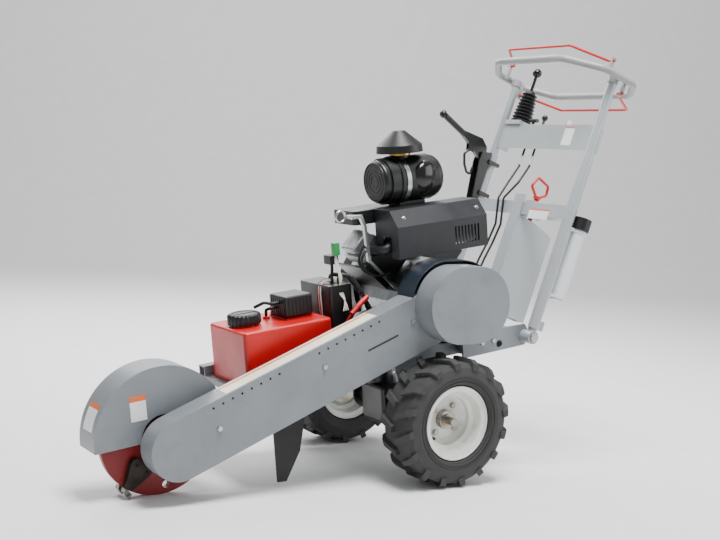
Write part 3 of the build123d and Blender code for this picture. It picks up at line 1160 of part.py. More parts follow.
def key_switch():
    """Ignition key in its barrel."""
    barrel = handle_rod((PANEL_TOP_S - 30, CONTROL_P, KEY_Y), (PANEL_TOP_S + 4, CONTROL_P, KEY_Y), 9)
    bow = handle_block(PANEL_TOP_S + 3, PANEL_TOP_S + 26, CONTROL_P - 10, CONTROL_P + 10, KEY_Y - 1.5,
                       KEY_Y + 1.5)
    return barrel + bow


def brake_bracket():
    """Channel bracket strapped to the front of the far tube, holding the brake lever's pivot."""
    inner = SLEEVE_RADIUS + 0.3
    back = handle_block(446, 632, -inner - 6, -inner, BRAKE_Y - 19, BRAKE_Y + 19)
    frame = back
    for y in (-19, 15):
        cheek = handle_prism([(446, -inner - 5), (446, -inner - 22), (580, -64), (620, -64),
                              (632, -inner - 5)],
                             BRAKE_Y + y, BRAKE_Y + y + 4)
        frame = frame + cheek
    for s in (470, 590):
        clamp = handle_block(s, s + 14, -inner - 6, inner + 6, BRAKE_Y - inner - 6, BRAKE_Y + inner + 6)
        bore = handle_rod((s - 1, 0, BRAKE_Y), (s + 15, 0, BRAKE_Y), inner)
        frame = frame + (clamp - bore)
    x, z = handle_xz(*BRAKE_PIVOT)
    return frame + cylinder_y(x, z, BRAKE_Y - 20, BRAKE_Y + 20, BRAKE_PIN_RADIUS)


def brake_lever():
    """Hand lever with a round grip, pointing forward from its pivot."""
    outline = [(586, -40), (594, -62), (634, -134), (650, -170), (664, -162), (668, -74), (646, -44),
               (612, -34)]
    body = handle_prism(outline, BRAKE_Y - 9, BRAKE_Y + 9)
    for y in (-9, 5.3):
        ear = [(620, -98), (604, -104), (604, -118), (632, -126)]
        body = body + handle_prism(ear, BRAKE_Y + y, BRAKE_Y + y + 3.7)
    body = body - handle_prism([(600, -90), (600, -130), (617.5, -130), (622, -104), (617.5, -90)],
                               BRAKE_Y - 5.3, BRAKE_Y + 5.3)
    pin_x, pin_z = handle_xz(*TRIGGER_PIVOT)
    body = body + cylinder_y(pin_x, pin_z, BRAKE_Y - 6, BRAKE_Y + 6, TRIGGER_PIN_RADIUS)
    grip = handle_rod((652, -150, BRAKE_Y), (684, -268, BRAKE_Y), 11)
    tip = ball(handle_point(684, -268, BRAKE_Y), 15)
    x, z = handle_xz(*BRAKE_PIVOT)
    return (body + grip + tip) - cylinder_y(x, z, BRAKE_Y - 12, BRAKE_Y + 12,
                                            BRAKE_PIN_RADIUS + RUNNING_FIT)


def brake_trigger():
    """Release trigger looping down from the brake lever."""
    loop = [(TRIGGER_PIVOT[0] - 4, TRIGGER_PIVOT[1] - 3), (588, -126), (554, -112), (530, -92),
            (528, -74), (556, -72)]
    wire = pipe([handle_point(s, p, BRAKE_Y) for s, p in loop], 4.5, 7)
    x, z = handle_xz(*TRIGGER_PIVOT)
    boss = cylinder_y(x, z, BRAKE_Y - 5, BRAKE_Y + 5, 6)
    return (wire + boss) - cylinder_y(x, z, BRAKE_Y - 6, BRAKE_Y + 6, TRIGGER_PIN_RADIUS + RUNNING_FIT)


def document_canister():
    """Round document holder clamped behind the near tube."""
    y = -HANDLE_HALF_WIDTH
    body = handle_rod((146, CANISTER_P, y), (404, CANISTER_P, y), CANISTER_RADIUS)
    body = body - handle_rod((149, CANISTER_P, y), (405, CANISTER_P, y), CANISTER_RADIUS - 2.5)
    solids = [body]
    for s in (152, 384):
        strap = handle_block(s, s + 10, SLEEVE_RADIUS - 1, CANISTER_P - CANISTER_RADIUS + 8, y - 9, y + 9)
        band = handle_rod((s, CANISTER_P, y), (s + 10, CANISTER_P, y), CANISTER_RADIUS + 2)
        cut = handle_rod((s - 1, CANISTER_P, y), (s + 11, CANISTER_P, y), CANISTER_RADIUS)
        tube_cut = handle_rod((s - 1, 0, y), (s + 11, 0, y), SLEEVE_RADIUS)
        solids.append((strap + band) - cut - tube_cut)
    return group(solids)


def canister_cap():
    """Screw cap of the document holder."""
    y = -HANDLE_HALF_WIDTH
    cap = handle_rod((396, CANISTER_P, y), (438, CANISTER_P, y), CANISTER_RADIUS + 7)
    return cap - handle_rod((395, CANISTER_P, y), (404.3, CANISTER_P, y), CANISTER_RADIUS + 2.5)


def control_cables():
    """Two sheathed control cables from the panel down into the rear of the frame."""
    cables = []
    for y_top, s_top, y_low in ((CHOKE_Y, CHOKE_STEM_S, 92.0), (THROTTLE_Y, THROTTLE_BOSS_S, 64.0)):
        top = handle_point(s_top - SEAT_GAP, CONTROL_P, y_top)
        route = [top, handle_point(PANEL_S - 60, CONTROL_P, y_top),
                 handle_point(PANEL_S - 130, -8, y_top - 6),
                 handle_point(PANEL_S - 200, -34, y_low + 6), (560.0, y_low, 720.0),
                 (524.0, y_low + 4, 660.0),
                 (480.0, y_low + 2, 606.0), (440.0, y_low - 2, 552.0), (404.0, y_low + 1, 496.0),
                 (384.0, y_low, 436.0)]
        cables.append(pipe(route, 4.0, 22))
    return group(cables)


# ---- placing and writing --------------------------------------------------------------------------
def lean(shape):
    """Lean a levelled shape nose-down about the axle."""
    return shape.rotate(Axis((0, 0, TYRE_RADIUS), (0, 1, 0)), -stance_angle())


def build_parts():
    """Every node of the machine, in the level layout."""
    pockets, teeth, bolts = cutter_hardware()
    return {
        "chassis_frame": chassis_frame(),
        "drive_gearbox": drive_gearbox(),
        "boom_beam": boom_beam(),
        "belt_guard_cover": belt_guard_cover(),
        "clutch_cover": clutch_cover(),
        "clutch_backplate": clutch_backplate(),
        "drive_belts": drive_belts(),
        "clutch_pulley": clutch_pulley(),
        "driven_pulley": driven_pulley(),
        "idler_pulley": idler_pulley(),
        "idler_arm": idler_arm(),
        "cutter_shaft": cutter_shaft(),
        "cutter_disc": cutter_disc(),
        "tooth_pockets": pockets,
        "cutter_teeth": teeth,
        "pocket_bolts": bolts,
        "cutter_bearings": cutter_bearings(),
        "cutter_hood": cutter_hood(),
        "chip_curtain": chip_curtain(),
        "fuel_tank": fuel_tank(),
        "fuel_cap": fuel_cap(),
        "vapour_canister": vapour_canister(),
        "fuel_hoses": fuel_hoses(),
        "battery_box": battery_box(),
        "engine_crankcase": engine_crankcase(),
        "engine_cylinders": group([engine_cylinders(), valve_covers()]),
        "blower_housing": blower_housing(),
        "intake_plenum": intake_plenum(),
        "flywheel_fan": flywheel_fan(),
        "muffler": muffler(),
        "muffler_guard": muffler_guard(),
        "air_cleaner": air_cleaner(),
        "rain_cap": rain_cap(),
        "lifting_strap": lifting_strap(),
        "engine_wiring": engine_wiring(),
        "left_tyre": tyre_body(-1),
        "left_rim": wheel_rim(-1),
        "left_axle_hub": axle_hub(-1),
        "right_tyre": tyre_body(1),
        "right_rim": wheel_rim(1),
        "right_axle_hub": axle_hub(1),
        "handlebar_frame": handlebar_frame(),
        "frame_fasteners": pivot_bolts(),
        "quadrant_column": quadrant_column(),
        "lock_pin": lock_pin(),
        "handle_ring": handle_ring(),
        "upper_bail": upper_bail(),
        "lower_bail": lower_bail(),
        "console_panel": console_panel(),
        "joystick_lever": joystick_lever(),
        "joystick_bellows": joystick_bellows(),
        "choke_knob": choke_knob(),
        "throttle_lever": throttle_lever(),
        "key_switch": key_switch(),
        "brake_bracket": brake_bracket(),
        "brake_lever": brake_lever(),
        "brake_trigger": brake_trigger(),
        "document_canister": document_canister(),
        "canister_cap": canister_cap(),
        "control_cables": control_cables(),
    }


def main():
    """Build, place and write every node."""
    os.makedirs("parts", exist_ok=True)
    leaned = {name: lean(shape) for name, shape in build_parts().items()}
    boxes = [shape.bounding_box() for shape in leaned.values()]
    low = [min(getattr(b.min, k) for b in boxes) for k in "XYZ"]
    high = [max(getattr(b.max, k) for b in boxes) for k in "XYZ"]
    shift = Vector(-(low[0] + high[0]) / 2, -(low[1] + high[1]) / 2, -low[2])
    for name, shape in leaned.items():
        export_step(shape.translate(shift), "parts/" + name + ".step")


main()
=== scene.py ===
"""Looks of the stump grinder: finishes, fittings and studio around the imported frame.

Lengths inside the classes are millimetres in the machine's own level frame (axle at x = 0, z = 203,
cutter towards -x, belt side towards -y) or in the handlebar's frame (x square behind the tubes, y across,
z up along them). Layout turns both into the frame's metres.
"""
import json
import logging
import math
from dataclasses import dataclass
from enum import Enum
from typing import ClassVar

import bmesh
import bpy
from mathutils import Matrix, Vector

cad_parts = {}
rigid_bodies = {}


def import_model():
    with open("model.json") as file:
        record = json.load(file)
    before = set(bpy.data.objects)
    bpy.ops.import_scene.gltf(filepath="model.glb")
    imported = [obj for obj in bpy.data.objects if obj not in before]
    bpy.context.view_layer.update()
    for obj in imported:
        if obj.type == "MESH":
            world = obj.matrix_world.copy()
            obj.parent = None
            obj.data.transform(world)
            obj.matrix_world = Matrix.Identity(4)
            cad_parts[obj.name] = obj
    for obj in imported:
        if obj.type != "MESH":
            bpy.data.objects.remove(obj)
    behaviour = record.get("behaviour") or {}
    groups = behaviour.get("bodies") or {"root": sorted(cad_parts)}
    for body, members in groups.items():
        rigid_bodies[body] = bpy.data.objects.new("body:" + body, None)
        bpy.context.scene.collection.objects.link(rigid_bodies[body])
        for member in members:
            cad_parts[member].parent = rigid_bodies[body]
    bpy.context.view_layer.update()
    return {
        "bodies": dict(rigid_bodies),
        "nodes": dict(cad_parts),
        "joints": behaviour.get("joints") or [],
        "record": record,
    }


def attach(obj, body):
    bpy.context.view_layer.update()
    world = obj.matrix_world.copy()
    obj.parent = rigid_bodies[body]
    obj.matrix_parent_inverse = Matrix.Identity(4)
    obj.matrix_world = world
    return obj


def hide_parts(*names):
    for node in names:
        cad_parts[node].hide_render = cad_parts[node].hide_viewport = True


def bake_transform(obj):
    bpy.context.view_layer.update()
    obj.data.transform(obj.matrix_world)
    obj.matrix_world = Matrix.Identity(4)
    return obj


LOG = logging.getLogger("stump_grinder")
MM = 0.001
# Scale of drawn grain along z, which stretches it into upright lines.
DRAWN_STRETCH = 0.04
# Size of the patches in which the lighter edge colour, partly wear and partly a painted edge highlight,
# breaks up, in mm.
WEAR_AND_HIGHLIGHT_PITCH = 9.0
# How far a film stands proud of its face, in mm; a real one is thinner.
FILM_LIFT = 0.35
# Parts of a noise's range over which a blend runs from none to full.
DRIFT_SPAN = (0.3, 0.7)
GLOSS_SPAN = (0.25, 0.75)
GRIME_SPAN = (0.52, 0.72)
WEAR_AND_HIGHLIGHT_SPAN = (0.42, 0.6)
# Cosine between the flat and the rounded normal, from a plain face to a sharp edge.
EDGE_SPAN = (0.985, 0.86)
# Most of the lighter edge colour that shows, partly wear and partly a painted edge highlight, and size of a
# grime patch as a share of the colour's drift.
WEAR_AND_HIGHLIGHT_SHARE = 0.55
GRIME_PITCH = 0.55
NOISE_ROUGHNESS = 0.55
BUMP_STRENGTH = 0.6
# Sockets of a Mix node that blends colours.
MIX_SHARE, MIX_FIRST, MIX_SECOND, MIX_RESULT = 0, 6, 7, 2
Point = tuple[float, float, float]
Pair = tuple[float, float]
Mesh = bmesh.types.BMesh
Socket = bpy.types.NodeSocket
Tree = bpy.types.NodeTree


class Side(Enum):
    """Which side of the machine a piece is on, as the sign of its y."""

    LEFT = -1
    RIGHT = 1


class Grain(Enum):
    """How a surface's small relief is patterned."""

    FINE = "fine"
    DRAWN = "drawn"


def linear(colour: str) -> tuple[float, float, float, float]:
    """Turns an sRGB hex colour into a linear one.

    Args:
        colour: Six hex digits with a leading hash.

    Returns:
        Red, green, blue and full alpha, linear.
    """
    channels = [int(colour[i:i + 2], 16) / 255 for i in (1, 3, 5)]
    red, green, blue = [c / 12.92 if c <= 0.04045 else ((c + 0.055) / 1.055) ** 2.4 for c in channels]
    return (red, green, blue, 1.0)


def add_node(tree: Tree, kind: str, settings: dict | None = None,
             links: dict | None = None) -> bpy.types.Node:
    """Adds one shader node.

    Args:
        tree: The tree that takes the node.
        kind: The node's type.
        settings: Attributes by name, and input values by name or index.
        links: The socket that feeds each input, by the input's name or index.

    Returns:
        The new node.
    """
    node = tree.nodes.new(kind)
    for name, value in (settings or {}).items():
        if isinstance(name, str) and hasattr(node, name):
            setattr(node, name, value)
    for name, value in (settings or {}).items():
        if isinstance(name, int) or not hasattr(node, name):
            node.inputs[name].default_value = value
    for name, socket in (links or {}).items():
        tree.links.new(socket, node.inputs[name])
    return node


# ---- finishes -----------------------------------------------------------------------------------
@dataclass(frozen=True)
class Finish:
    """One real surface: what it is made of and how it was made.

    The colour drifts between two near shades over drift_mm, the relief has a pitch of grain_mm and a
    depth of relief_mm, and edges are rounded for the light by edge_mm. The edge colour shows in broken
    patches along every sharp edge, partly as rubbed paint and partly as a painted edge highlight, and grime
    is the colour that settles in patches.
    """

    name: str
    slot: str
    colour: str
    second: str
    roughness: float = 0.4
    roughness_swing: float = 0.08
    metallic: float = 0.0
    ior: float = 1.5
    coat: float = 0.0
    coat_roughness: float = 0.1
    drift_mm: float = 120.0
    grain_mm: float = 3.0
    relief_mm: float = 0.05
    edge_mm: float = 1.2
    edge_wear_and_highlight: str = ""
    grime: str = ""
    grime_share: float = 0.35
    grain: Grain = Grain.FINE

    def noise(self, tree: Tree, pitch_mm: float, detail: float, place: Socket) -> Socket:
        """Noise with a feature size of pitch_mm.

        Args:
            tree: The material's tree.
            pitch_mm: Size of one patch.
            detail: Octaves of finer noise.
            place: Position socket, in metres.

        Returns:
            The noise value's socket.
        """
        settings = {"Scale": 1.0 / (pitch_mm * MM), "Detail": detail, "Roughness": NOISE_ROUGHNESS}
        return add_node(tree, "ShaderNodeTexNoise", settings, {"Vector": place}).outputs[0]

    def relief(self, tree: Tree, place: Socket) -> Socket:
        """Height of the small relief, patterned as the surface was made.

        Args:
            tree: The material's tree.
            place: Position socket, in metres.

        Returns:
            The height's socket.
        """
        if self.grain is Grain.DRAWN:
            stretched = add_node(tree, "ShaderNodeMapping", {"Scale": (1.0, 1.0, DRAWN_STRETCH)},
                                 {"Vector": place})
            return self.noise(tree, self.grain_mm, 3.0, stretched.outputs[0])
        return self.noise(tree, self.grain_mm, 3.0, place)

    def mixed(self, tree: Tree, share: Socket, low: str | Socket, high: str) -> Socket:
        """Blends towards a colour.

        Args:
            tree: The material's tree.
            share: How much of the second colour shows, 0 to 1.
            low: The first colour, as a hex string or a socket.
            high: The second colour, as a hex string.

        Returns:
            The blended colour's socket.
        """
        settings = {"data_type": "RGBA", MIX_SECOND: linear(high)}
        links = {MIX_SHARE: share}
        if isinstance(low, str):
            settings[MIX_FIRST] = linear(low)
        else:
            links[MIX_FIRST] = low
        return add_node(tree, "ShaderNodeMix", settings, links).outputs[MIX_RESULT]

    def window(self, tree: Tree, value: Socket, span: Pair, results: Pair = (0.0, 1.0)) -> Socket:
        """Maps a span of a value to a span of results, held at the ends.

        Args:
            tree: The material's tree.
            value: The socket to map.
            span: Values that give the first and the last result.
            results: The first and the last result.

        Returns:
            The mapped value's socket.
        """
        settings = {"From Min": span[0], "From Max": span[1], "To Min": results[0], "To Max": results[1]}
        return add_node(tree, "ShaderNodeMapRange", settings, {"Value": value}).outputs[0]

    def tint(self, tree: Tree, place: Socket, patches: Socket, rounded: Socket) -> Socket:
        """Colour of the surface with its drift, grime, and sharp edges made lighter partly by wear and
        partly by a painted edge highlight.

        Args:
            tree: The material's tree.
            place: Position socket, in metres.
            patches: Slow noise that the drift follows.
            rounded: Normal with its edges rounded.

        Returns:
            The colour's socket.
        """
        colour = self.mixed(tree, self.window(tree, patches, DRIFT_SPAN), self.colour, self.second)
        if self.grime:
            dirt = self.noise(tree, self.drift_mm * GRIME_PITCH, 8.0, place)
            share = self.window(tree, dirt, GRIME_SPAN, (0.0, self.grime_share))
            colour = self.mixed(tree, share, colour, self.grime)
        # Lighter colour along sharp edges in broken patches: partly rubbed paint, partly a painted edge
        # highlight.
        if self.edge_wear_and_highlight:
            colour = self.mixed(tree, self.edge_wear_and_highlight_share(tree, place, rounded), colour, self.edge_wear_and_highlight)
        return colour

    def edge_wear_and_highlight_share(self, tree: Tree, place: Socket, rounded: Socket) -> Socket:
        """How much of the lighter edge colour shows: broken patches along every sharp edge, partly wear and
        partly a painted edge highlight.

        Args:
            tree: The material's tree.
            place: Position socket, in metres.
            rounded: Normal with its edges rounded.

        Returns:
            The share's socket.
        """
        flat = add_node(tree, "ShaderNodeNewGeometry").outputs["Normal"]
        facing = add_node(tree, "ShaderNodeVectorMath", {"operation": "DOT_PRODUCT"},
                          {0: rounded, 1: flat}).outputs["Value"]
        edge = self.window(tree, facing, EDGE_SPAN, (0.0, WEAR_AND_HIGHLIGHT_SHARE))
        broken = self.window(tree, self.noise(tree, WEAR_AND_HIGHLIGHT_PITCH, 5.0, place), WEAR_AND_HIGHLIGHT_SPAN)
        return add_node(tree, "ShaderNodeMath", {"operation": "MULTIPLY"}, {0: edge, 1: broken}).outputs[0]

    def make(self) -> bpy.types.Material:
        """Builds the material, once per name.

        Returns:
            The material.
        """
        if self.name in bpy.data.materials:
            return bpy.data.materials[self.name]
        material = bpy.data.materials.new(self.name)
        material.use_nodes = True
        tree = material.node_tree
        tree.nodes.clear()
        place = add_node(tree, "ShaderNodeTexCoord").outputs["Object"]
        patches = self.noise(tree, self.drift_mm, 4.0, place)
        rounded = add_node(tree, "ShaderNodeBevel", {"samples": 4, "Radius": self.edge_mm * MM}).outputs[0]
        swing = (self.roughness - self.roughness_swing, self.roughness + self.roughness_swing)
        gloss = self.window(tree, patches, GLOSS_SPAN, swing)
        bump = add_node(tree, "ShaderNodeBump", {"Strength": BUMP_STRENGTH, "Distance": self.relief_mm * MM},
                        {"Height": self.relief(tree, place), "Normal": rounded}).outputs[0]
        settings = {"Metallic": self.metallic, "IOR": self.ior, "Coat Weight": self.coat,
                    "Coat Roughness": self.coat_roughness}
        links = {"Base Color": self.tint(tree, place, patches, rounded), "Roughness": gloss, "Normal": bump}
        shader = add_node(tree, "ShaderNodeBsdfPrincipled", settings, links)
        add_node(tree, "ShaderNodeOutputMaterial", None, {"Surface": shader.outputs[0]})
        return material


@dataclass(frozen=True)
class Enamel(Finish):
    """Sprayed enamel on steel: a clear gloss over orange-peel relief, with a lighter edge colour where a
    finish gives one, partly wear and partly a painted edge highlight.
    """

    roughness: float = 0.42
    coat: float = 0.08
    coat_roughness: float = 0.25
    grain_mm: float = 2.4
    relief_mm: float = 0.06


@dataclass(frozen=True)
class Metal(Finish):
    """Bare or plated metal: mirror-like colour with a soft spread from its grain."""

    metallic: float = 1.0
    roughness: float = 0.32
    drift_mm: float = 40.0
    grain_mm: float = 1.6
    relief_mm: float = 0.05
    edge_mm: float = 0.7


@dataclass(frozen=True)
class Moulding(Finish):
    """Moulded plastic or rubber: an even colour with a fine eroded texture from the mould."""

    roughness: float = 0.5
    grain_mm: float = 1.8
    relief_mm: float = 0.12
    ior: float = 1.49


@dataclass(frozen=True)
class Film(Finish):
    """Printed vinyl film: flat, slightly satin, faintly rippled where it was rolled on."""

    roughness: float = 0.42
    grain_mm: float = 14.0
    relief_mm: float = 0.08
    edge_mm: float = 0.1


# Grey machine enamel: satin grey that picks up soft highlights, with pale bare steel along sharp edges that
# is partly wear and partly a painted edge highlight.
GREY_ENAMEL = Enamel("grey_machine_enamel", "silver_paint", "#73787D", "#7C8186", edge_wear_and_highlight="#C4C8CB",
                     grime="#65696C", grime_share=0.3)
# The same paint on the tubes, sprayed thinner over bright steel: paler and glossier.
TUBE_ENAMEL = Enamel("pale_tube_enamel", "grey_steel_tube", "#A0A5A9", "#A6ABAE", roughness=0.32,
                     roughness_swing=0.03, metallic=0.2, relief_mm=0.03)
# Powder coat on the ring: matt, warm light grey, where gloves rub it smooth.
RING_COAT = Enamel("light_grey_powder_coat", "grey_steel_tube", "#8B8E8C", "#959896", roughness=0.42,
                   coat=0.02, relief_mm=0.12)
# Bright red enamel: strong even red, gloss, a little darker in its drifts, and paler along sharp edges,
# partly wear and partly a painted edge highlight.
RED_ENAMEL = Enamel("bright_red_enamel", "red_paint", "#CC0208", "#B80207", roughness=0.36, coat=0.12,
                    edge_wear_and_highlight="#E2645E", grime="#8E0C10", grime_share=0.2)
# Red enamel on thin rods and the pull pin: the same red, with no paler edge of wear and painted highlight.
ROD_ENAMEL = Enamel("red_rod_enamel", "red_paint", "#CE0509", "#BC0408", roughness=0.34, coat=0.12)
# Red enamel on the disc: deep and dry from grit, with grey-pink sharp edges that are partly wear and partly
# a painted edge highlight.
DISC_ENAMEL = Enamel("deep_red_enamel", "maroon_paint", "#860A10", "#74080D", roughness=0.46, coat=0.03,
                     edge_wear_and_highlight="#A99F99", grime="#4E1012", grime_share=0.4)
# Dark blue-grey enamel behind the clutch: deep, with pale edges that are partly chips and partly a painted
# edge highlight.
SLATE_ENAMEL = Enamel("slate_blue_enamel", "dark_blue_grey_paint", "#1D2731", "#17202A", roughness=0.42,
                      edge_wear_and_highlight="#8A949C")
# Heat-resistant black on the silencer and its guard: dull blue-black, greyer along sharp edges, partly wear
# and partly a painted edge highlight.
HEAT_BLACK = Enamel("heat_resistant_black", "black_paint", "#0D1014", "#14181D", roughness=0.46, coat=0.03,
                    edge_wear_and_highlight="#4A4E54", grime="#26282B")
# Satin black enamel on brackets and engine tinwork, greyer along sharp edges, partly wear and partly a
# painted edge highlight.
SATIN_BLACK = Enamel("satin_black_enamel", "black_paint", "#070808", "#0D0E0F", roughness=0.36, coat=0.1,
                     edge_wear_and_highlight="#5A5C5F")
# White stoving enamel on the pressed rims: bright, with tan dust in the dish.
RIM_ENAMEL = Enamel("white_stoving_enamel", "white_paint", "#E4E6E0", "#D6D8D1", roughness=0.32, coat=0.4,
                    grime="#A8937A", grime_share=0.35, drift_mm=70.0)
# Zinc plate: cool, clean, faintly clouded.
ZINC = Metal("zinc_plated_steel", "zinc_steel", "#C6C8C6", "#A9ACAA", roughness=0.3)
# Drop-forged and hardened steel: brown-grey scale, rough, paler along sharp edges, partly worn through to
# steel and partly a painted edge highlight.
FORGED = Metal("forged_steel_scale", "dark_steel", "#39332F", "#2A2623", roughness=0.55, metallic=0.75,
               relief_mm=0.25, edge_wear_and_highlight="#A9A39C", grime="#5A4636")
# Sintered carbide: bright ground tip.
CARBIDE = Metal("ground_carbide", "dark_steel", "#8C8880", "#6F6B64", roughness=0.3)
# Turned steel shafts: fine upright lines, which read as turning marks on the sides of a level shaft.
TURNED = Metal("turned_steel", "zinc_steel", "#A8A6A1", "#8A7F73", roughness=0.34, grime="#7A5236",
               grain=Grain.DRAWN)
# Sand-cast aluminium: pale, grainy, dull.
CAST_ALLOY = Metal("cast_aluminium", "cast_alloy", "#BDBFC0", "#9B9D9F", roughness=0.46, relief_mm=0.3,
                   grain_mm=2.2, grime="#55524E", grime_share=0.3)
# Brass-coloured clamp band: warm yellow metal with a close, bright highlight.
BRASS = Metal("turned_brass", "zinc_steel", "#C8A24C", "#A98236", roughness=0.28)
# Moulded black polypropylene: soft grey-black with a fine eroded texture.
BLACK_PLASTIC = Moulding("black_polypropylene", "black_plastic", "#08090A", "#0E0F10", roughness=0.4)
# Black phenolic of the knobs and the dust bowl: nearly smooth, with a sharp highlight.
KNOB = Moulding("black_phenolic", "black_plastic", "#0D0D0E", "#131314", roughness=0.16, relief_mm=0.02)
# Pale grey polyethylene of the document holder: milky and satin.
PALE_PLASTIC = Moulding("pale_polyethylene", "grey_plastic", "#D5DADD", "#C6CCD0", roughness=0.38)
# Tyre rubber: dry black with tan dust in the low places.
TYRE_RUBBER = Moulding("tyre_rubber", "tyre_rubber", "#0C0C0D", "#141414", roughness=0.7,
                       relief_mm=0.35, grain_mm=4.0, grime="#332E28", grime_share=0.3)
# Neoprene of the gaiter, hoses, belts and cable covers: smooth black with a low sheen.
NEOPRENE = Moulding("neoprene_rubber", "rubber", "#07080A", "#0E0F12", roughness=0.48, relief_mm=0.08)
# Reinforced rubber sheet of the curtain: flat black with scuffs.
SHEET_RUBBER = Moulding("reinforced_rubber_sheet", "rubber", "#060607", "#0B0B0C", roughness=0.62,
                        relief_mm=0.3, grain_mm=5.0, grime="#1E1C1A")
# Soft PVC and nylon of the wires, boot and connector: even colour with a low sheen.
WHITE_WIRE = Moulding("white_pvc_insulation", "rubber", "#DCD9D0", "#C9C6BC", roughness=0.45)
RED_WIRE = Moulding("red_pvc_insulation", "rubber", "#C4161C", "#A91218", roughness=0.4)
GREEN_NYLON = Moulding("green_nylon_connector", "black_plastic", "#1E9A4C", "#198541", roughness=0.4)
# Vinyl films, with no lettering: flat colour that stays even as the light moves.
WHITE_FILM = Film("white_vinyl_film", "white_paint", "#E9EAEA", "#E1E3E4")
CREAM_FILM = Film("cream_vinyl_film", "white_paint", "#EFE8D2", "#E6DEC6")
ORANGE_FILM = Film("orange_vinyl_film", "red_paint", "#E06A24", "#D6601D")
BLACK_FILM = Film("black_vinyl_film", "black_paint", "#17171A", "#1F1F22")
# Pale paper under and behind the machine: matt, so the shadows fall soft.
PAPER = Finish("pale_studio_sweep", "", "#F0F0EF", "#ECECEB", roughness=0.8, roughness_swing=0.05,
               relief_mm=0.01, edge_mm=0.1)


# ---- mesh tools ---------------------------------------------------------------------------------
def aim(origin: Point, direction: Point) -> Matrix:
    """Matrix at origin whose z runs along direction."""
    turn = Vector(direction).to_track_quat("Z", "Y").to_matrix().to_4x4()
    return Matrix.Translation(Vector(origin)) @ turn


def add_lathe(mesh: Mesh, base: Matrix, profile: list[Pair],
              segments: int = 48, closed: bool = False, ripple: tuple[int, float] = (0, 0.0)) -> None:
    """Adds a turned shape.

    Args:
        mesh: The mesh that takes it.
        base: Matrix whose z is the turning axis.
        profile: Radius and height of each ring, in order.
        segments: Points round each ring.
        closed: Whether the last ring joins the first.
        ripple: Number of ribs round the shape, and their depth at the rings over half the largest radius.
    """
    widest = max(radius for radius, _ in profile)
    rings = []
    for radius, height in profile:
        if radius < 1e-4:
            rings.append([mesh.verts.new(base @ Vector((0, 0, height)))])
            continue
        depth = ripple[1] if radius > widest * 0.5 else 0.0
        ring = []
        for step in range(segments):
            angle = math.tau * step / segments
            reach = radius - depth * (0.5 - 0.5 * math.cos(ripple[0] * angle))
            point = Vector((reach * math.cos(angle), reach * math.sin(angle), height))
            ring.append(mesh.verts.new(base @ point))
        rings.append(ring)
    pairs = list(zip(rings, rings[1:]))
    if closed:
        pairs.append((rings[-1], rings[0]))
    for low, high in pairs:
        for step in range(segments):
            after = (step + 1) % segments
            corners = [low[step % len(low)], low[after % len(low)], high[after % len(high)],
                       high[step % len(high)]]
            unique = list(dict.fromkeys(corners))
            if len(unique) > 2:
                mesh.faces.new(unique)


def add_prism(mesh: Mesh, base: Matrix, outline: list[Pair], depth: float,
              bevel: float = 0.0) -> None:
    """Adds a flat outline raised along z, with its edges rounded.

    Args:
        mesh: The mesh that takes it.
        base: Matrix whose x and y hold the outline.
        outline: Corners of the outline.
        depth: Height along z.
        bevel: Width of the rounded edge.
    """
    low = [mesh.verts.new(base @ Vector((x, y, 0))) for x, y in outline]
    high = [mesh.verts.new(base @ Vector((x, y, depth))) for x, y in outline]
    faces = [mesh.faces.new(low[::-1]), mesh.faces.new(high)]
    for index in range(len(outline)):
        after = (index + 1) % len(outline)
        faces.append(mesh.faces.new([low[index], low[after], high[after], high[index]]))
    if bevel > 0:
        edges = list({edge for face in faces for edge in face.edges})
        bmesh.ops.bevel(mesh, geom=edges, offset=bevel, segments=2, profile=0.7, affect="EDGES",
                        clamp_overlap=True)


def rectangle(across: Pair, up: Pair) -> list[Pair]:
    """Corners of a rectangle, from its low and high limit both ways."""
    return [(across[0], up[0]), (across[1], up[0]), (across[1], up[1]), (across[0], up[1])]


def add_box(mesh: Mesh, low: Point, high: Point, bevel: float = 1.5) -> None:
    """Adds a box with rounded edges between two corners."""
    outline = rectangle((low[0], high[0]), (low[1], high[1]))
    add_prism(mesh, Matrix.Translation((0, 0, low[2])), outline, high[2] - low[2], bevel)


def add_bolt(mesh: Mesh, base: Matrix, width: float) -> None:
    """Adds a flanged hexagon head standing on a washer.

    Args:
        mesh: The mesh that takes it.
        base: Matrix on the seat, with z out of it.
        width: Size across the hexagon's corners.
    """
    radius = width / 2
    washer = width * 0.14
    head = width * 0.36
    profile = [(0, 0), (radius * 1.55, 0), (radius * 1.55, width * 0.1), (radius * 1.5, washer), (0, washer)]
    add_lathe(mesh, base, profile, 32)
    hexagon = [(radius * math.cos(math.tau * i / 6), radius * math.sin(math.tau * i / 6)) for i in range(6)]
    add_prism(mesh, base @ Matrix.Translation((0, 0, washer)), hexagon, head, width * 0.05)
    add_lathe(mesh, base @ Matrix.Translation((0, 0, washer + head)),
              [(radius * 0.72, 0), (radius * 0.6, width * 0.03), (0, width * 0.04)], 24)


def on_belt_side(face_y: float) -> Matrix:
    """Matrix on a face that looks to the belt side: x along the machine, y up, z out."""
    return Matrix(((1, 0, 0, 0), (0, 0, -1, face_y), (0, 1, 0, 0), (0, 0, 0, 1)))


def on_bar_front(face_p: float) -> Matrix:
    """Matrix on a front face of the handlebar: x across, y up the tubes, z out."""
    return Matrix(((0, 0, -1, face_p), (1, 0, 0, 0), (0, 1, 0, 0), (0, 0, 0, 1)))


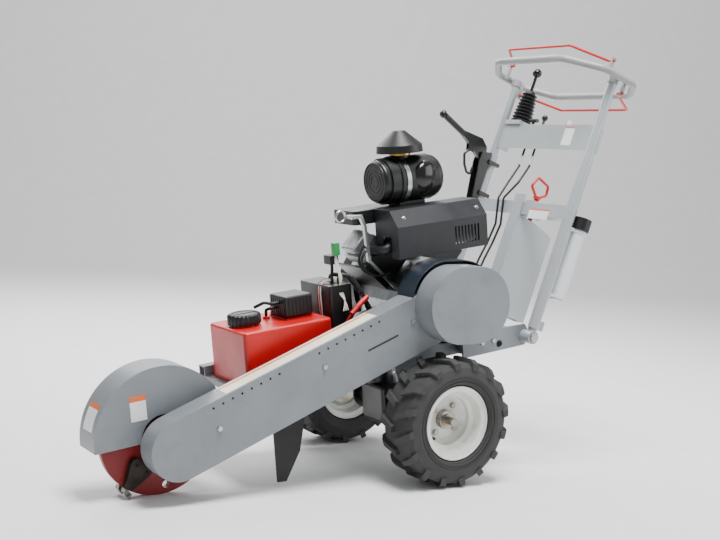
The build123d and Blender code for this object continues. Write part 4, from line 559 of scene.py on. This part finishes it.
@dataclass(frozen=True)
class Layout:
    """The machine's level frame and the handlebar's frame, in millimetres, as matrices to the row frame."""

    level: Matrix
    bar: Matrix

    @staticmethod
    def read(joints: list[dict]) -> "Layout":
        """Works both frames out from the joints.

        Args:
            joints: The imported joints.

        Returns:
            The layout.
        """
        places = {joint["name"]: joint for joint in joints}
        axle = places["left_wheel_roll"]["pos_m"]
        cutter, crank = places["cutter_spin"]["pos_m"], places["crank_spin"]["pos_m"]
        leaned = math.atan2(crank[2] - cutter[2], crank[0] - cutter[0])
        stance = leaned - math.atan2(BeltDrive.rise, BeltDrive.run)
        scale = Matrix.Scale(MM, 4)
        level = (Matrix.Translation((axle[0], 0, axle[2])) @ Matrix.Rotation(-stance, 4, "Y")
                 @ Matrix.Translation((0, 0, -Wheel.radius * MM)) @ scale)
        tube = places["lock_pin_pull"]["axis"]
        bar = (Matrix.Translation(places["handlebar_tilt"]["pos_m"])
               @ Matrix.Rotation(math.atan2(tube[0], tube[2]), 4, "Y") @ scale)
        return Layout(level, bar)


@dataclass
class Assembly:
    """A sub-assembly of the machine: it dresses its CAD nodes and fits its own pieces."""

    layout: Layout
    frame: dict

    def dress(self, finish: Finish, *nodes: str) -> None:
        """Gives CAD nodes a finish.

        Args:
            finish: The finish.
            nodes: Names of the nodes.
        """
        material = finish.make()
        for name in nodes:
            thing = self.frame["nodes"][name]
            if not thing.material_slots:
                thing.data.materials.append(material)
            for place in thing.material_slots:
                place.material = material
            LOG.info("%s dressed in %s", name, finish.name)

    def fit(self, name: str, mesh: Mesh, finish: Finish, body: str,
            matrix: Matrix | None = None, stands_for: tuple[str, ...] = (), crease: float = 35.0,
            ride: bool = True) -> bpy.types.Object:
        """Turns a mesh into a finished piece that rides a body.

        Args:
            name: The piece's name.
            mesh: Its mesh, in millimetres.
            finish: Its finish.
            body: The body it rides.
            matrix: From the mesh's millimetres to the row frame; the level frame if none.
            stands_for: CAD nodes that the piece replaces.
            crease: Angle in degrees above which an edge stays sharp.
            ride: Whether it rides the body now.

        Returns:
            The piece.
        """
        bmesh.ops.recalc_face_normals(mesh, faces=mesh.faces)
        data = bpy.data.meshes.new(name)
        mesh.to_mesh(data)
        mesh.free()
        data.transform(matrix or self.layout.level)
        data.shade_smooth()
        data.set_sharp_from_angle(angle=math.radians(crease))
        return self.settle(bpy.data.objects.new(name, data), finish, body, stands_for, ride)

    def run_wire(self, name: str, points: list[Point], radius: float, finish: Finish, body: str,
                 matrix: Matrix | None = None, stands_for: tuple[str, ...] = ()) -> bpy.types.Object:
        """Lays a round wire, hose or rod along a smooth route.

        Args:
            name: The piece's name.
            points: Its route, in millimetres.
            radius: Its radius.
            finish: Its finish.
            body: The body it rides.
            matrix: From the route's millimetres to the row frame; the level frame if none.
            stands_for: CAD nodes that the piece replaces.

        Returns:
            The piece.
        """
        curve = bpy.data.curves.new(name, "CURVE")
        curve.dimensions = "3D"
        curve.bevel_depth = radius * MM
        curve.bevel_resolution = 5
        curve.resolution_u = 8
        curve.use_fill_caps = True
        spline = curve.splines.new("NURBS")
        spline.points.add(len(points) - 1)
        for place, point in zip(spline.points, points):
            place.co = (*((matrix or self.layout.level) @ Vector(point)), 1.0)
        spline.order_u = 3
        spline.use_endpoint_u = True
        return self.settle(bpy.data.objects.new(name, curve), finish, body, stands_for, True)

    def lay_film(self, name: str, base: Matrix, outline: list[Pair], finish: Finish, body: str,
                 matrix: Matrix | None = None) -> None:
        """Lays a film on a flat face.

        Args:
            name: The film's name.
            base: Matrix on the face, with z out of it.
            outline: Its corners on the face.
            finish: Its finish.
            body: The body it rides.
            matrix: From the face's millimetres to the row frame; the level frame if none.
        """
        mesh = bmesh.new()
        add_prism(mesh, base, outline, FILM_LIFT)
        self.fit(name, mesh, finish, body, matrix)

    def roll_film(self, name: str, centre: Pair, reach: float, arc: Pair, edges: Pair,
                  finish: Finish) -> None:
        """Lays a film round a rim whose axis runs across the machine.

        Args:
            name: The film's name.
            centre: The axis, as x and z.
            reach: Radius of the film.
            arc: Its first and last angle in degrees, from level towards the handlebar.
            edges: Its two edges, as y.
            finish: Its finish.
        """
        mesh = bmesh.new()
        steps = 8
        rows = []
        for step in range(steps + 1):
            angle = math.radians(arc[0] + (arc[1] - arc[0]) * step / steps)
            x, z = centre[0] + reach * math.cos(angle), centre[1] + reach * math.sin(angle)
            rows.append([mesh.verts.new((x, y, z)) for y in edges])
        for low, high in zip(rows, rows[1:]):
            mesh.faces.new([low[0], low[1], high[1], high[0]])
        self.fit(name, mesh, finish, "chassis")

    def settle(self, thing: bpy.types.Object, finish: Finish, body: str, stands_for: tuple[str, ...],
               ride: bool) -> bpy.types.Object:
        """Links a new object, finishes it and seats it on its body.

        Args:
            thing: The object.
            finish: Its finish.
            body: The body it rides.
            stands_for: CAD nodes that it replaces.
            ride: Whether it rides the body now.

        Returns:
            The object.
        """
        thing.data.materials.append(finish.make())
        bpy.context.scene.collection.objects.link(thing)
        if ride:
            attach(thing, body)
        if stands_for:
            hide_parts(*stands_for)
        LOG.info("%s fitted on %s in %s", thing.name, body, finish.name)
        return thing


# ---- assemblies ---------------------------------------------------------------------------------
@dataclass
class Wheel(Assembly):
    """One drive wheel: lugged turf tyre on a dished white rim, turned by the half axle."""

    side: Side = Side.LEFT
    radius: ClassVar[float] = 203.0
    rim_radius: float = 116.0
    outer_y: float = 388.0
    ring_radii: tuple[float, ...] = (128.0, 139.0, 150.0)
    ring_seat: float = 1.6
    valve_radius: float = 4.0
    valve_length: float = 26.0
    valve_angle: float = 215.0
    valve_share: float = 0.66
    valve_depth: float = 78.0

    def build(self) -> None:
        """Dresses the wheel and fits its sidewall rings and valve."""
        label = self.side.name.lower()
        self.dress(TYRE_RUBBER, f"{label}_tyre")
        self.dress(RIM_ENAMEL, f"{label}_rim")
        self.dress(TURNED, f"{label}_axle_hub")
        self.add_rings(label)
        self.add_valve(label)

    def axle(self) -> Matrix:
        """Matrix on the axle with z out of the wheel."""
        return aim((0, 0, self.radius), (0, self.side.value, 0))

    def add_rings(self, label: str) -> None:
        """Moulds the fine rings that run round the sidewall.

        Args:
            label: The wheel's side, as its pieces are named.
        """
        mesh = bmesh.new()
        face = self.outer_y - self.ring_seat
        for reach in self.ring_radii:
            profile = [(reach - 1.6, face - 1.5), (reach - 0.8, face + 0.9), (reach + 0.8, face + 0.9),
                       (reach + 1.6, face - 1.5)]
            add_lathe(mesh, self.axle(), profile, 128)
        self.fit(f"{label}_sidewall_rings", mesh, TYRE_RUBBER, f"{label}_wheel")

    def add_valve(self, label: str) -> None:
        """Stands the rubber valve stem with its cap in the rim's dish.

        Args:
            label: The wheel's side, as its pieces are named.
        """
        base = self.axle() @ Matrix.Rotation(math.radians(self.valve_angle), 4, "Z") @ Matrix.Translation(
            (self.rim_radius * self.valve_share, 0, self.outer_y - self.valve_depth))
        radius, length = self.valve_radius, self.valve_length
        profile = [(radius * 1.5, 0), (radius, 5), (radius, length), (radius * 0.8, length + 1),
                   (0, length + 1)]
        mesh = bmesh.new()
        add_lathe(mesh, base, profile, 20)
        self.fit(f"{label}_tyre_valve", mesh, NEOPRENE, f"{label}_wheel")


@dataclass
class BeltDrive(Assembly):
    """The boom with its belt guard, the clutch under its deep cover, belts and pulleys."""

    rise: ClassVar[float] = 556.0 - 308.0
    run: ClassVar[float] = 98.0 + 872.0
    crank: Pair = (98.0, 556.0)
    boom_face_y: float = -262.0
    boom_middle: Pair = (-560.0, 395.0)
    stripe_along: Pair = (330.0, 446.0)
    stripe_up: Pair = (-22.0, -16.0)
    top_foot: Pair = (-868.0, 290.0)
    top_rise: float = 254.0
    top_run: float = 966.0
    top_height: float = 88.0
    top_film_x: Pair = (-690.0, -170.0)
    clutch_face_y: float = -350.0
    clutch_radius: float = 120.5

    def build(self) -> None:
        """Dresses the belt side and lays its films."""
        self.dress(GREY_ENAMEL, "boom_beam", "belt_guard_cover", "clutch_cover")
        self.dress(SLATE_ENAMEL, "clutch_backplate")
        self.dress(NEOPRENE, "drive_belts")
        self.dress(CAST_ALLOY, "clutch_pulley", "driven_pulley", "idler_pulley")
        self.dress(SATIN_BLACK, "idler_arm")
        self.add_stripe()
        self.add_top_films()
        self.add_rim_label()

    def add_stripe(self) -> None:
        """Lays a plain black stripe on the boom's side, in line with the boom."""
        slope = math.atan2(self.rise, self.run)
        turn = Matrix.Rotation(slope, 2)
        corners = [turn @ Vector(place) for place in rectangle(self.stripe_along, self.stripe_up)]
        outline = [(self.boom_middle[0] + x, self.boom_middle[1] + z) for x, z in corners]
        self.lay_film("boom_plain_stripe", on_belt_side(self.boom_face_y), outline, BLACK_FILM, "chassis")

    def add_rim_label(self) -> None:
        """Lays the small cream label with its dark line on top of the clutch cover's rim."""
        for name, arc, near, far, lift, finish in (
                ("clutch_rim_label", (84.0, 98.0), 22.0, 40.0, FILM_LIFT, CREAM_FILM),
                ("clutch_rim_label_line", (87.0, 95.0), 28.0, 34.0, FILM_LIFT + 0.1, BLACK_FILM)):
            edges = (self.clutch_face_y + near, self.clutch_face_y + far)
            self.roll_film(name, self.crank, self.clutch_radius + lift, arc, edges, finish)

    def add_top_films(self) -> None:
        """Lays the long cream strip with its orange line on the boom's top face."""
        slope = math.atan2(self.top_rise, self.top_run)
        for name, near, far, lift, finish in (
                ("boom_top_strip", -254.0, -188.0, 0.4, CREAM_FILM),
                ("boom_top_line", -206.0, -196.0, 0.6, ORANGE_FILM)):
            mesh = bmesh.new()
            height = self.top_height + lift
            shift, raised = height * math.sin(slope), height * math.cos(slope)
            corners = []
            for x, y in rectangle(self.top_film_x, (near, far)):
                z = self.top_foot[1] + (x - self.top_foot[0]) * math.tan(slope)
                corners.append(mesh.verts.new((x - shift, y, z + raised)))
            mesh.faces.new(corners)
            self.fit(name, mesh, finish, "chassis")


@dataclass
class Cutter(Assembly):
    """The cutter head: disc, pockets, teeth, hood and rubber curtain."""

    centre: Pair = (-872.0, 308.0)
    hood_radius: float = 206.0
    hood_near_y: float = -155.0
    hood_far_y: float = -36.0
    panel_x: Pair = (-92.0, -44.0)
    rim_panel_half: float = 34.0

    def build(self) -> None:
        """Dresses the cutter head and fits its films."""
        self.dress(DISC_ENAMEL, "cutter_disc")
        self.dress(FORGED, "tooth_pockets", "pocket_bolts")
        self.dress(CARBIDE, "cutter_teeth")
        self.dress(TURNED, "cutter_shaft")
        self.dress(CAST_ALLOY, "cutter_bearings")
        self.dress(GREY_ENAMEL, "cutter_hood")
        self.dress(SHEET_RUBBER, "chip_curtain")
        self.add_panels()

    def add_panels(self) -> None:
        """Lays the hood's plain white panels with their orange head bands, on its side and its rim."""
        x, z = self.centre
        across = (x + self.panel_x[0], x + self.panel_x[1])
        for name, low, high, finish in (("hood_label_panel", 62.0, 118.0, WHITE_FILM),
                                        ("hood_label_band", 118.0, 134.0, ORANGE_FILM)):
            outline = rectangle(across, (z + low, z + high))
            self.lay_film(name, on_belt_side(self.hood_near_y), outline, finish, "chassis")
        middle = (self.hood_near_y + self.hood_far_y) / 2
        edges = (middle - self.rim_panel_half, middle + self.rim_panel_half)
        for name, arc, finish in (("hood_rim_panel", (148.0, 166.0), WHITE_FILM),
                                  ("hood_rim_band", (144.0, 148.0), ORANGE_FILM)):
            self.roll_film(name, self.centre, self.hood_radius + FILM_LIFT, arc, edges, finish)


@dataclass
class FuelSystem(Assembly):
    """Red tank with its ribbed cap, vapour canister, hoses and battery."""

    cap_centre: Pair = (-516.0, -8.0)
    cap_radius: float = 52.0
    cap_low: float = 555.0
    cap_high: float = 589.0
    cap_ribs: tuple[int, float] = (24, 3.4)
    cap_grip: Pair = (30.0, 5.0)
    canister_low: Point = (-398.0, -62.0, 558.0)
    canister_top: float = 624.0
    rib_count: int = 7
    rib_pitch: float = 13.0
    rib_half: float = 2.0
    rib_proud: float = 1.6
    battery_x: float = -248.0
    battery_top: float = 636.0
    lead_radius: float = 2.4

    def build(self) -> None:
        """Dresses the fuel side and fits its cap, ribs and battery leads."""
        self.dress(RED_ENAMEL, "fuel_tank")
        self.dress(BLACK_PLASTIC, "vapour_canister", "battery_box", "fuel_cap")
        self.dress(NEOPRENE, "fuel_hoses")
        self.add_cap()
        self.add_canister_ribs()
        self.add_battery_leads()

    def add_cap(self) -> None:
        """Moulds the screw cap, with finger ribs round it."""
        mesh = bmesh.new()
        height = self.cap_high - self.cap_low
        edge = self.cap_radius
        profile = [(edge - 8, 0), (edge - 1, 0), (edge, 2), (edge, height - 7), (edge - 3, height - 3),
                   (edge - 9, height - 0.4), (edge - 14, height), (edge - 16, height - 2), (0, height - 2)]
        base = Matrix.Translation((self.cap_centre[0], self.cap_centre[1], self.cap_low))
        add_lathe(mesh, base, profile, 216, ripple=self.cap_ribs)
        x, y = self.cap_centre
        long, wide = self.cap_grip
        add_box(mesh, (x - long, y - wide, self.cap_high - 2.4),
                (x + long, y + wide, self.cap_high - 0.2), 1.0)
        self.fit("ribbed_fuel_cap", mesh, BLACK_PLASTIC, "fuel_cap", stands_for=("fuel_cap",))

    def add_canister_ribs(self) -> None:
        """Moulds upright ribs round the vapour canister."""
        mesh = bmesh.new()
        left, near, foot = self.canister_low
        low, high = foot + 6, self.canister_top - 8
        half, proud = self.rib_half, self.rib_proud
        steps = [self.rib_pitch * index for index in range(1, self.rib_count + 1)]
        for x in [left + step for step in steps]:
            add_box(mesh, (x - half, near - proud, low), (x + half, near + 0.5, high), 0.7)
        for y in [near + step for step in steps]:
            add_box(mesh, (left - proud, y - half, low), (left + 0.5, y + half, high), 0.7)
        self.fit("vapour_canister_ribs", mesh, BLACK_PLASTIC, "chassis")

    def add_battery_leads(self) -> None:
        """Runs the bundle of leads up behind the tank."""
        x, top = self.battery_x, self.battery_top
        starts = ((-30.0, WHITE_WIRE), (-24.0, RED_WIRE), (-18.0, WHITE_WIRE), (-12.0, NEOPRENE))
        for index, (y, finish) in enumerate(starts):
            route = [(x - 3, y, top - 120), (x - 5, y - 2, top - 60), (x - 4, y + 3, top - 16),
                     (x + 8, y + 6, top + 6), (x + 36, y + 4, top + 10 + index), (x + 74, y - 4, top + 8)]
            self.run_wire(f"battery_lead_{index}", route, self.lead_radius, finish, "chassis")


@dataclass
class Engine(Assembly):
    """The V-twin with its housings, silencer, air cleaner and lifting ring."""

    guard_slope: Pair = (-179.2, 831.2)
    guard_screw_x: Pair = (-20.0, 268.0)
    guard_screw: float = 9.0
    cleaner_axis: Pair = (-40.0, 937.0)
    cleaner_radius: float = 75.0
    cleaner_front_x: float = -29.0
    clamp_offset: float = 78.0
    clamp_width: float = 16.0
    front_ribs: tuple[float, ...] = (20.0, 34.0, 48.0, 62.0)
    bowl_offset: Point = (158.0, -46.0, 4.0)
    bowl_radius: float = 55.0
    bowl_depth: float = 27.0
    plug_lead_radius: float = 3.6
    boot_radius: float = 8.5
    cable_radius: float = 4.4
    loom_radius: float = 2.2
    rain_centre: Pair = (75.0, -40.0)
    rain_low: float = 1024.0

    def build(self) -> None:
        """Dresses the engine and fits its small parts."""
        self.dress(CAST_ALLOY, "engine_crankcase", "engine_cylinders")
        self.dress(SATIN_BLACK, "blower_housing")
        self.dress(BLACK_PLASTIC, "flywheel_fan", "air_cleaner", "rain_cap", "intake_plenum")
        self.dress(HEAT_BLACK, "muffler", "muffler_guard")
        self.dress(ZINC, "lifting_strap")
        self.dress(NEOPRENE, "engine_wiring")
        self.add_guard_details()
        self.add_cleaner_clamp()
        self.add_rain_band()
        self.add_dust_bowl()
        self.add_top_end()

    def add_guard_details(self) -> None:
        """Screws the heat guard on through its sloping face."""
        mesh = bmesh.new()
        for x in self.guard_screw_x:
            add_bolt(mesh, aim((x, *self.guard_slope), (0, -50, 42)), self.guard_screw)
        self.fit("heat_guard_screws", mesh, ZINC, "chassis")

    def add_cleaner_clamp(self) -> None:
        """Clamps the air cleaner with a plain steel band and moulds the ribs of its front."""
        mesh = bmesh.new()
        reach = self.cleaner_radius + 0.4
        width = self.clamp_width
        base = aim((self.cleaner_front_x + self.clamp_offset, *self.cleaner_axis), (1, 0, 0))
        profile = [(reach, 0), (reach + 1.4, 0.4), (reach + 1.4, width - 0.4), (reach, width)]
        add_lathe(mesh, base, profile, 96)
        self.fit("air_cleaner_clamp_band", mesh, ZINC, "chassis")
        mesh = bmesh.new()
        front = aim((self.cleaner_front_x + 0.2, *self.cleaner_axis), (-1, 0, 0))
        for reach in self.front_ribs:
            profile = [(reach - 2, -0.6), (reach - 1, 1.6), (reach + 1, 1.6), (reach + 2, -0.6)]
            add_lathe(mesh, front, profile, 72)
        self.fit("air_cleaner_front_ribs", mesh, BLACK_PLASTIC, "chassis")

    def add_dust_bowl(self) -> None:
        """Hangs the glossy dust bowl on the air cleaner's near side."""
        start = Vector((self.cleaner_front_x, *self.cleaner_axis)) + Vector(self.bowl_offset)
        radius, lip = self.bowl_radius, 9
        profile = [(0, 0), (radius - 3, 0), (radius, 3), (radius, lip)]
        for degrees in range(8, 89, 8):
            turn = math.radians(degrees)
            profile.append((radius * math.cos(turn), lip + self.bowl_depth * math.sin(turn)))
        profile.append((0, lip + self.bowl_depth))
        mesh = bmesh.new()
        add_lathe(mesh, aim(start, (0.25, -1.0, -0.16)), profile, 96)
        self.fit("air_cleaner_dust_bowl", mesh, KNOB, "chassis")

    def add_top_end(self) -> None:
        """Fits the plug leads, the starter cable with its red boot, the connector and its loom."""
        for index, (y, lift) in enumerate(((-92.0, 0.0), (-78.0, 14.0))):
            route = [(-96, y, 742 + lift), (-122, y - 8, 730 + lift), (-140, y - 6, 700), (-118, y, 664),
                     (-70, y - 6, 640), (-30, y - 12, 652)]
            self.run_wire(f"plug_lead_{index}", route, self.plug_lead_radius, NEOPRENE, "chassis")
        boot = [(-206, -132, 549), (-190, -130, 560), (-168, -128, 577), (-138, -122, 592)]
        self.run_wire("starter_cable_boot", boot, self.boot_radius, RED_WIRE, "chassis")
        lead = [(-206, -132, 549), (-214, -128, 536), (-226, -116, 512), (-234, -104, 488)]
        self.run_wire("starter_cable", lead, self.cable_radius, RED_WIRE, "chassis")
        mesh = bmesh.new()
        add_box(mesh, (-216, -74, 728), (-196, -52, 768), 3.0)
        self.fit("green_wire_connector", mesh, GREEN_NYLON, "chassis")
        for index, sway in enumerate((0.0, 9.0, -8.0)):
            route = [(-206, -62, 730), (-212 + sway, -70, 700), (-204 - sway, -84, 660),
                     (-214 + sway, -78, 620), (-198, -92, 584), (-206 - sway, -100, 556)]
            self.run_wire(f"loom_wire_{index}", route, self.loom_radius, WHITE_WIRE, "chassis")

    def add_rain_band(self) -> None:
        """Clamps the rain cap's neck with its tan band."""
        mesh = bmesh.new()
        base = Matrix.Translation((*self.rain_centre, self.rain_low - 9))
        add_lathe(mesh, base, [(33, 0), (34.4, 0.5), (34.4, 7.5), (33, 8)], 72)
        self.fit("rain_cap_clamp_band", mesh, BRASS, "chassis")


@dataclass
class Handlebar(Assembly):
    """Tubes, crossbar, ring handle, column, lock pin, bails, brake and document canister."""

    crossbar_face_p: float = -41.0
    label_across: Pair = (-196.0, -96.0)
    sleeve_x: float = 20.0
    sleeve_low: float = 606.0
    sleeve_y: Pair = (110.0, 55.0)

    def build(self) -> None:
        """Dresses the handlebar and fits its cable sleeves and plain label."""
        self.dress(TUBE_ENAMEL, "handlebar_frame", "quadrant_column")
        self.dress(RING_COAT, "handle_ring")
        self.dress(ROD_ENAMEL, "upper_bail", "lower_bail", "lock_pin")
        self.dress(SATIN_BLACK, "brake_lever", "brake_bracket", "brake_trigger")
        self.dress(ZINC, "frame_fasteners")
        self.dress(PALE_PLASTIC, "document_canister")
        self.dress(BLACK_PLASTIC, "canister_cap")
        self.dress(NEOPRENE, "control_cables")
        self.add_cable_sleeves()
        self.add_crossbar_panel()

    def add_crossbar_panel(self) -> None:
        """Lays the plain label with its orange line on the crossbar's front face."""
        for name, up, finish in (("crossbar_label_panel", (394.0, 424.0), WHITE_FILM),
                                 ("crossbar_label_line", (424.0, 429.0), ORANGE_FILM)):
            self.lay_film(name, on_bar_front(self.crossbar_face_p), rectangle(self.label_across, up), finish,
                          "handlebar", self.layout.bar)

    def add_cable_sleeves(self) -> None:
        """Slips pale sleeves over the cables below the panel."""
        profile = [(0, 0), (5.2, 0), (5.6, 1), (5.6, 33), (5.2, 34), (0, 34)]
        for index, y in enumerate(self.sleeve_y):
            mesh = bmesh.new()
            add_lathe(mesh, Matrix.Translation((self.sleeve_x, y, self.sleeve_low)), profile, 24)
            self.fit(f"cable_sleeve_{index}", mesh, PALE_PLASTIC, "handlebar", self.layout.bar)


@dataclass
class Console(Assembly):
    """Control panel with joystick, gaiter, choke, throttle and key."""

    face_p: float = -6.0
    stick: Pair = (25.0, 186.0)
    gaiter_low: float = 767.0
    gaiter_pitch: float = 13.0
    gaiter_pleats: int = 9
    gaiter_radius: float = 40.0
    gaiter_wall: float = 2.5
    gaiter_wave: float = 4.5
    gaiter_taper: float = 1.3
    label_across: Pair = (-150.0, -102.0)

    def build(self) -> None:
        """Dresses the console and fits its plain label and the gaiter."""
        self.dress(TUBE_ENAMEL, "console_panel")
        self.dress(ZINC, "key_switch")
        self.dress(KNOB, "joystick_lever", "choke_knob", "throttle_lever")
        self.dress(NEOPRENE, "joystick_bellows")
        self.add_panels()
        self.add_gaiter()

    def add_gaiter(self) -> None:
        """Moulds the pleated gaiter round the joystick."""
        low, pitch = self.gaiter_low, self.gaiter_pitch
        outer = []
        for index in range(self.gaiter_pleats * 6 + 1):
            height = index * pitch / 6
            crest = self.gaiter_radius - self.gaiter_taper * height / pitch
            dip = self.gaiter_wave + self.gaiter_wave * math.cos(math.tau * height / pitch)
            outer.append((crest - dip, low + height))
        top = low + self.gaiter_pleats * pitch
        collar = [(18, top + 3), (15, top + 8), (8, top + 8), (8, top + 3), (15, top - 1)]
        inner = [(reach - self.gaiter_wall, height) for reach, height in reversed(outer)]
        base = Matrix.Translation((self.stick[0], self.stick[1], 0))
        mesh = bmesh.new()
        add_lathe(mesh, base, outer + collar + inner, 72, closed=True)
        gaiter = self.fit("joystick_gaiter", mesh, NEOPRENE, "handlebar", self.layout.bar,
                          stands_for=("joystick_bellows",), ride=False)
        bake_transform(gaiter)

    def add_panels(self) -> None:
        """Lays the console's plain label with its orange line."""
        for name, up, finish in (("console_label_panel", (676.0, 738.0), WHITE_FILM),
                                 ("console_label_line", (738.0, 742.0), ORANGE_FILM)):
            self.lay_film(name, on_bar_front(self.face_p), rectangle(self.label_across, up), finish,
                          "handlebar", self.layout.bar)


@dataclass
class Chassis(Assembly):
    """Welded frame and the wheel-drive gearbox under it."""

    def build(self) -> None:
        """Dresses the frame and gearbox."""
        self.dress(GREY_ENAMEL, "chassis_frame")
        self.dress(SATIN_BLACK, "drive_gearbox")


@dataclass
class Studio:
    """Pale sweep, soft lamps and the camera."""

    machine: Point = (0.0, 0.0, 0.6)
    backdrop: Point = (3.2, 6.5, 1.6)
    camera_place: Point = (-2.138075, -3.27225, 0.982546)
    camera_aim: Point = (0.541711, 0.835973, -0.087742)
    camera_roll: float = 3.304
    camera_lens: float = 60.35
    sweep_half_width: float = 12.0
    sweep_front: float = -9.0
    sweep_bend: float = 6.0
    sweep_radius: float = 3.0
    sweep_top: float = 9.0
    sweep_turn: float = -30.0
    room_strength: float = 0.5

    def build(self) -> None:
        """Sets the stage."""
        self.add_sweep()
        self.add_world()
        self.add_softbox("key_softbox", (-0.2, -1.0, 4.2), 1.6, 300.0, self.machine)
        self.add_softbox("fill_softbox", (3.2, -2.6, 2.0), 2.6, 70.0, self.machine)
        self.add_softbox("back_softbox", (0.6, 3.2, 3.4), 3.0, 150.0, self.machine)
        self.add_softbox("backdrop_softbox", (0.5, 1.5, 4.6), 4.0, 260.0, self.backdrop)
        self.add_camera()

    def add_sweep(self) -> None:
        """Lays a pale floor that curves up into a backdrop."""
        mesh = bmesh.new()
        radius, wide = self.sweep_radius, self.sweep_half_width
        profile = [(self.sweep_front, 0.0)]
        for degrees in range(0, 91, 9):
            angle = math.radians(degrees)
            profile.append((self.sweep_bend + radius * math.sin(angle), radius - radius * math.cos(angle)))
        profile.append((self.sweep_bend + radius, self.sweep_top))
        turn = Matrix.Rotation(math.radians(self.sweep_turn), 4, "Z")
        rows = [[mesh.verts.new(turn @ Vector((x, y, z))) for x in (-wide, wide)] for y, z in profile]
        for low, high in zip(rows, rows[1:]):
            mesh.faces.new([low[0], low[1], high[1], high[0]])
        data = bpy.data.meshes.new("studio_sweep")
        mesh.to_mesh(data)
        mesh.free()
        data.shade_smooth()
        sweep = bpy.data.objects.new("studio_sweep", data)
        data.materials.append(PAPER.make())
        bpy.context.scene.collection.objects.link(sweep)

    def add_world(self) -> None:
        """Fills the room with an even pale light."""
        world = bpy.data.worlds.new("pale_room")
        world.use_nodes = True
        world.node_tree.nodes.clear()
        settings = {"Color": linear("#F4F6F8"), "Strength": self.room_strength}
        light = add_node(world.node_tree, "ShaderNodeBackground", settings)
        add_node(world.node_tree, "ShaderNodeOutputWorld", None, {"Surface": light.outputs[0]})
        bpy.context.scene.world = world

    def add_softbox(self, name: str, place: Point, size: float, watts: float, target: Point) -> None:
        """Hangs a square lamp that looks at a point.

        Args:
            name: The lamp's name.
            place: Where it hangs, in metres.
            size: Its side, in metres.
            watts: Its power.
            target: The point it looks at, in metres.
        """
        lamp = bpy.data.lights.new(name, "AREA")
        lamp.shape = "SQUARE"
        lamp.size = size
        lamp.energy = watts
        thing = bpy.data.objects.new(name, lamp)
        thing.matrix_world = Matrix.Translation(place) @ (
            Vector(target) - Vector(place)).to_track_quat("-Z", "Y").to_matrix().to_4x4()
        bpy.context.scene.collection.objects.link(thing)

    def add_camera(self) -> None:
        """Stands the camera."""
        lens = bpy.data.cameras.new("camera")
        lens.lens = self.camera_lens
        lens.sensor_width = 36.0
        lens.dof.use_dof = False
        thing = bpy.data.objects.new("camera", lens)
        forward = Vector(self.camera_aim).normalized()
        right = forward.cross(Vector((0, 0, 1))).normalized()
        up = right.cross(forward)
        roll = math.radians(self.camera_roll)
        across = math.cos(roll) * right + math.sin(roll) * up
        above = across.cross(forward)
        turn = Matrix((across, above, -forward)).transposed().to_4x4()
        thing.matrix_world = Matrix.Translation(self.camera_place) @ turn
        bpy.context.scene.collection.objects.link(thing)
        bpy.context.scene.camera = thing


def main() -> None:
    """Builds every assembly round the frame, then the studio."""
    logging.basicConfig(level=logging.INFO, format="%(message)s")
    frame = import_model()
    layout = Layout.read(frame["joints"])
    assemblies = [Chassis, BeltDrive, Cutter, FuelSystem, Engine, Handlebar, Console]
    for kind in assemblies:
        kind(layout, frame).build()
        LOG.info("%s done", kind.__name__)
    for side in Side:
        Wheel(layout, frame, side).build()
    Studio().build()


if __name__ == "__main__":
    main()
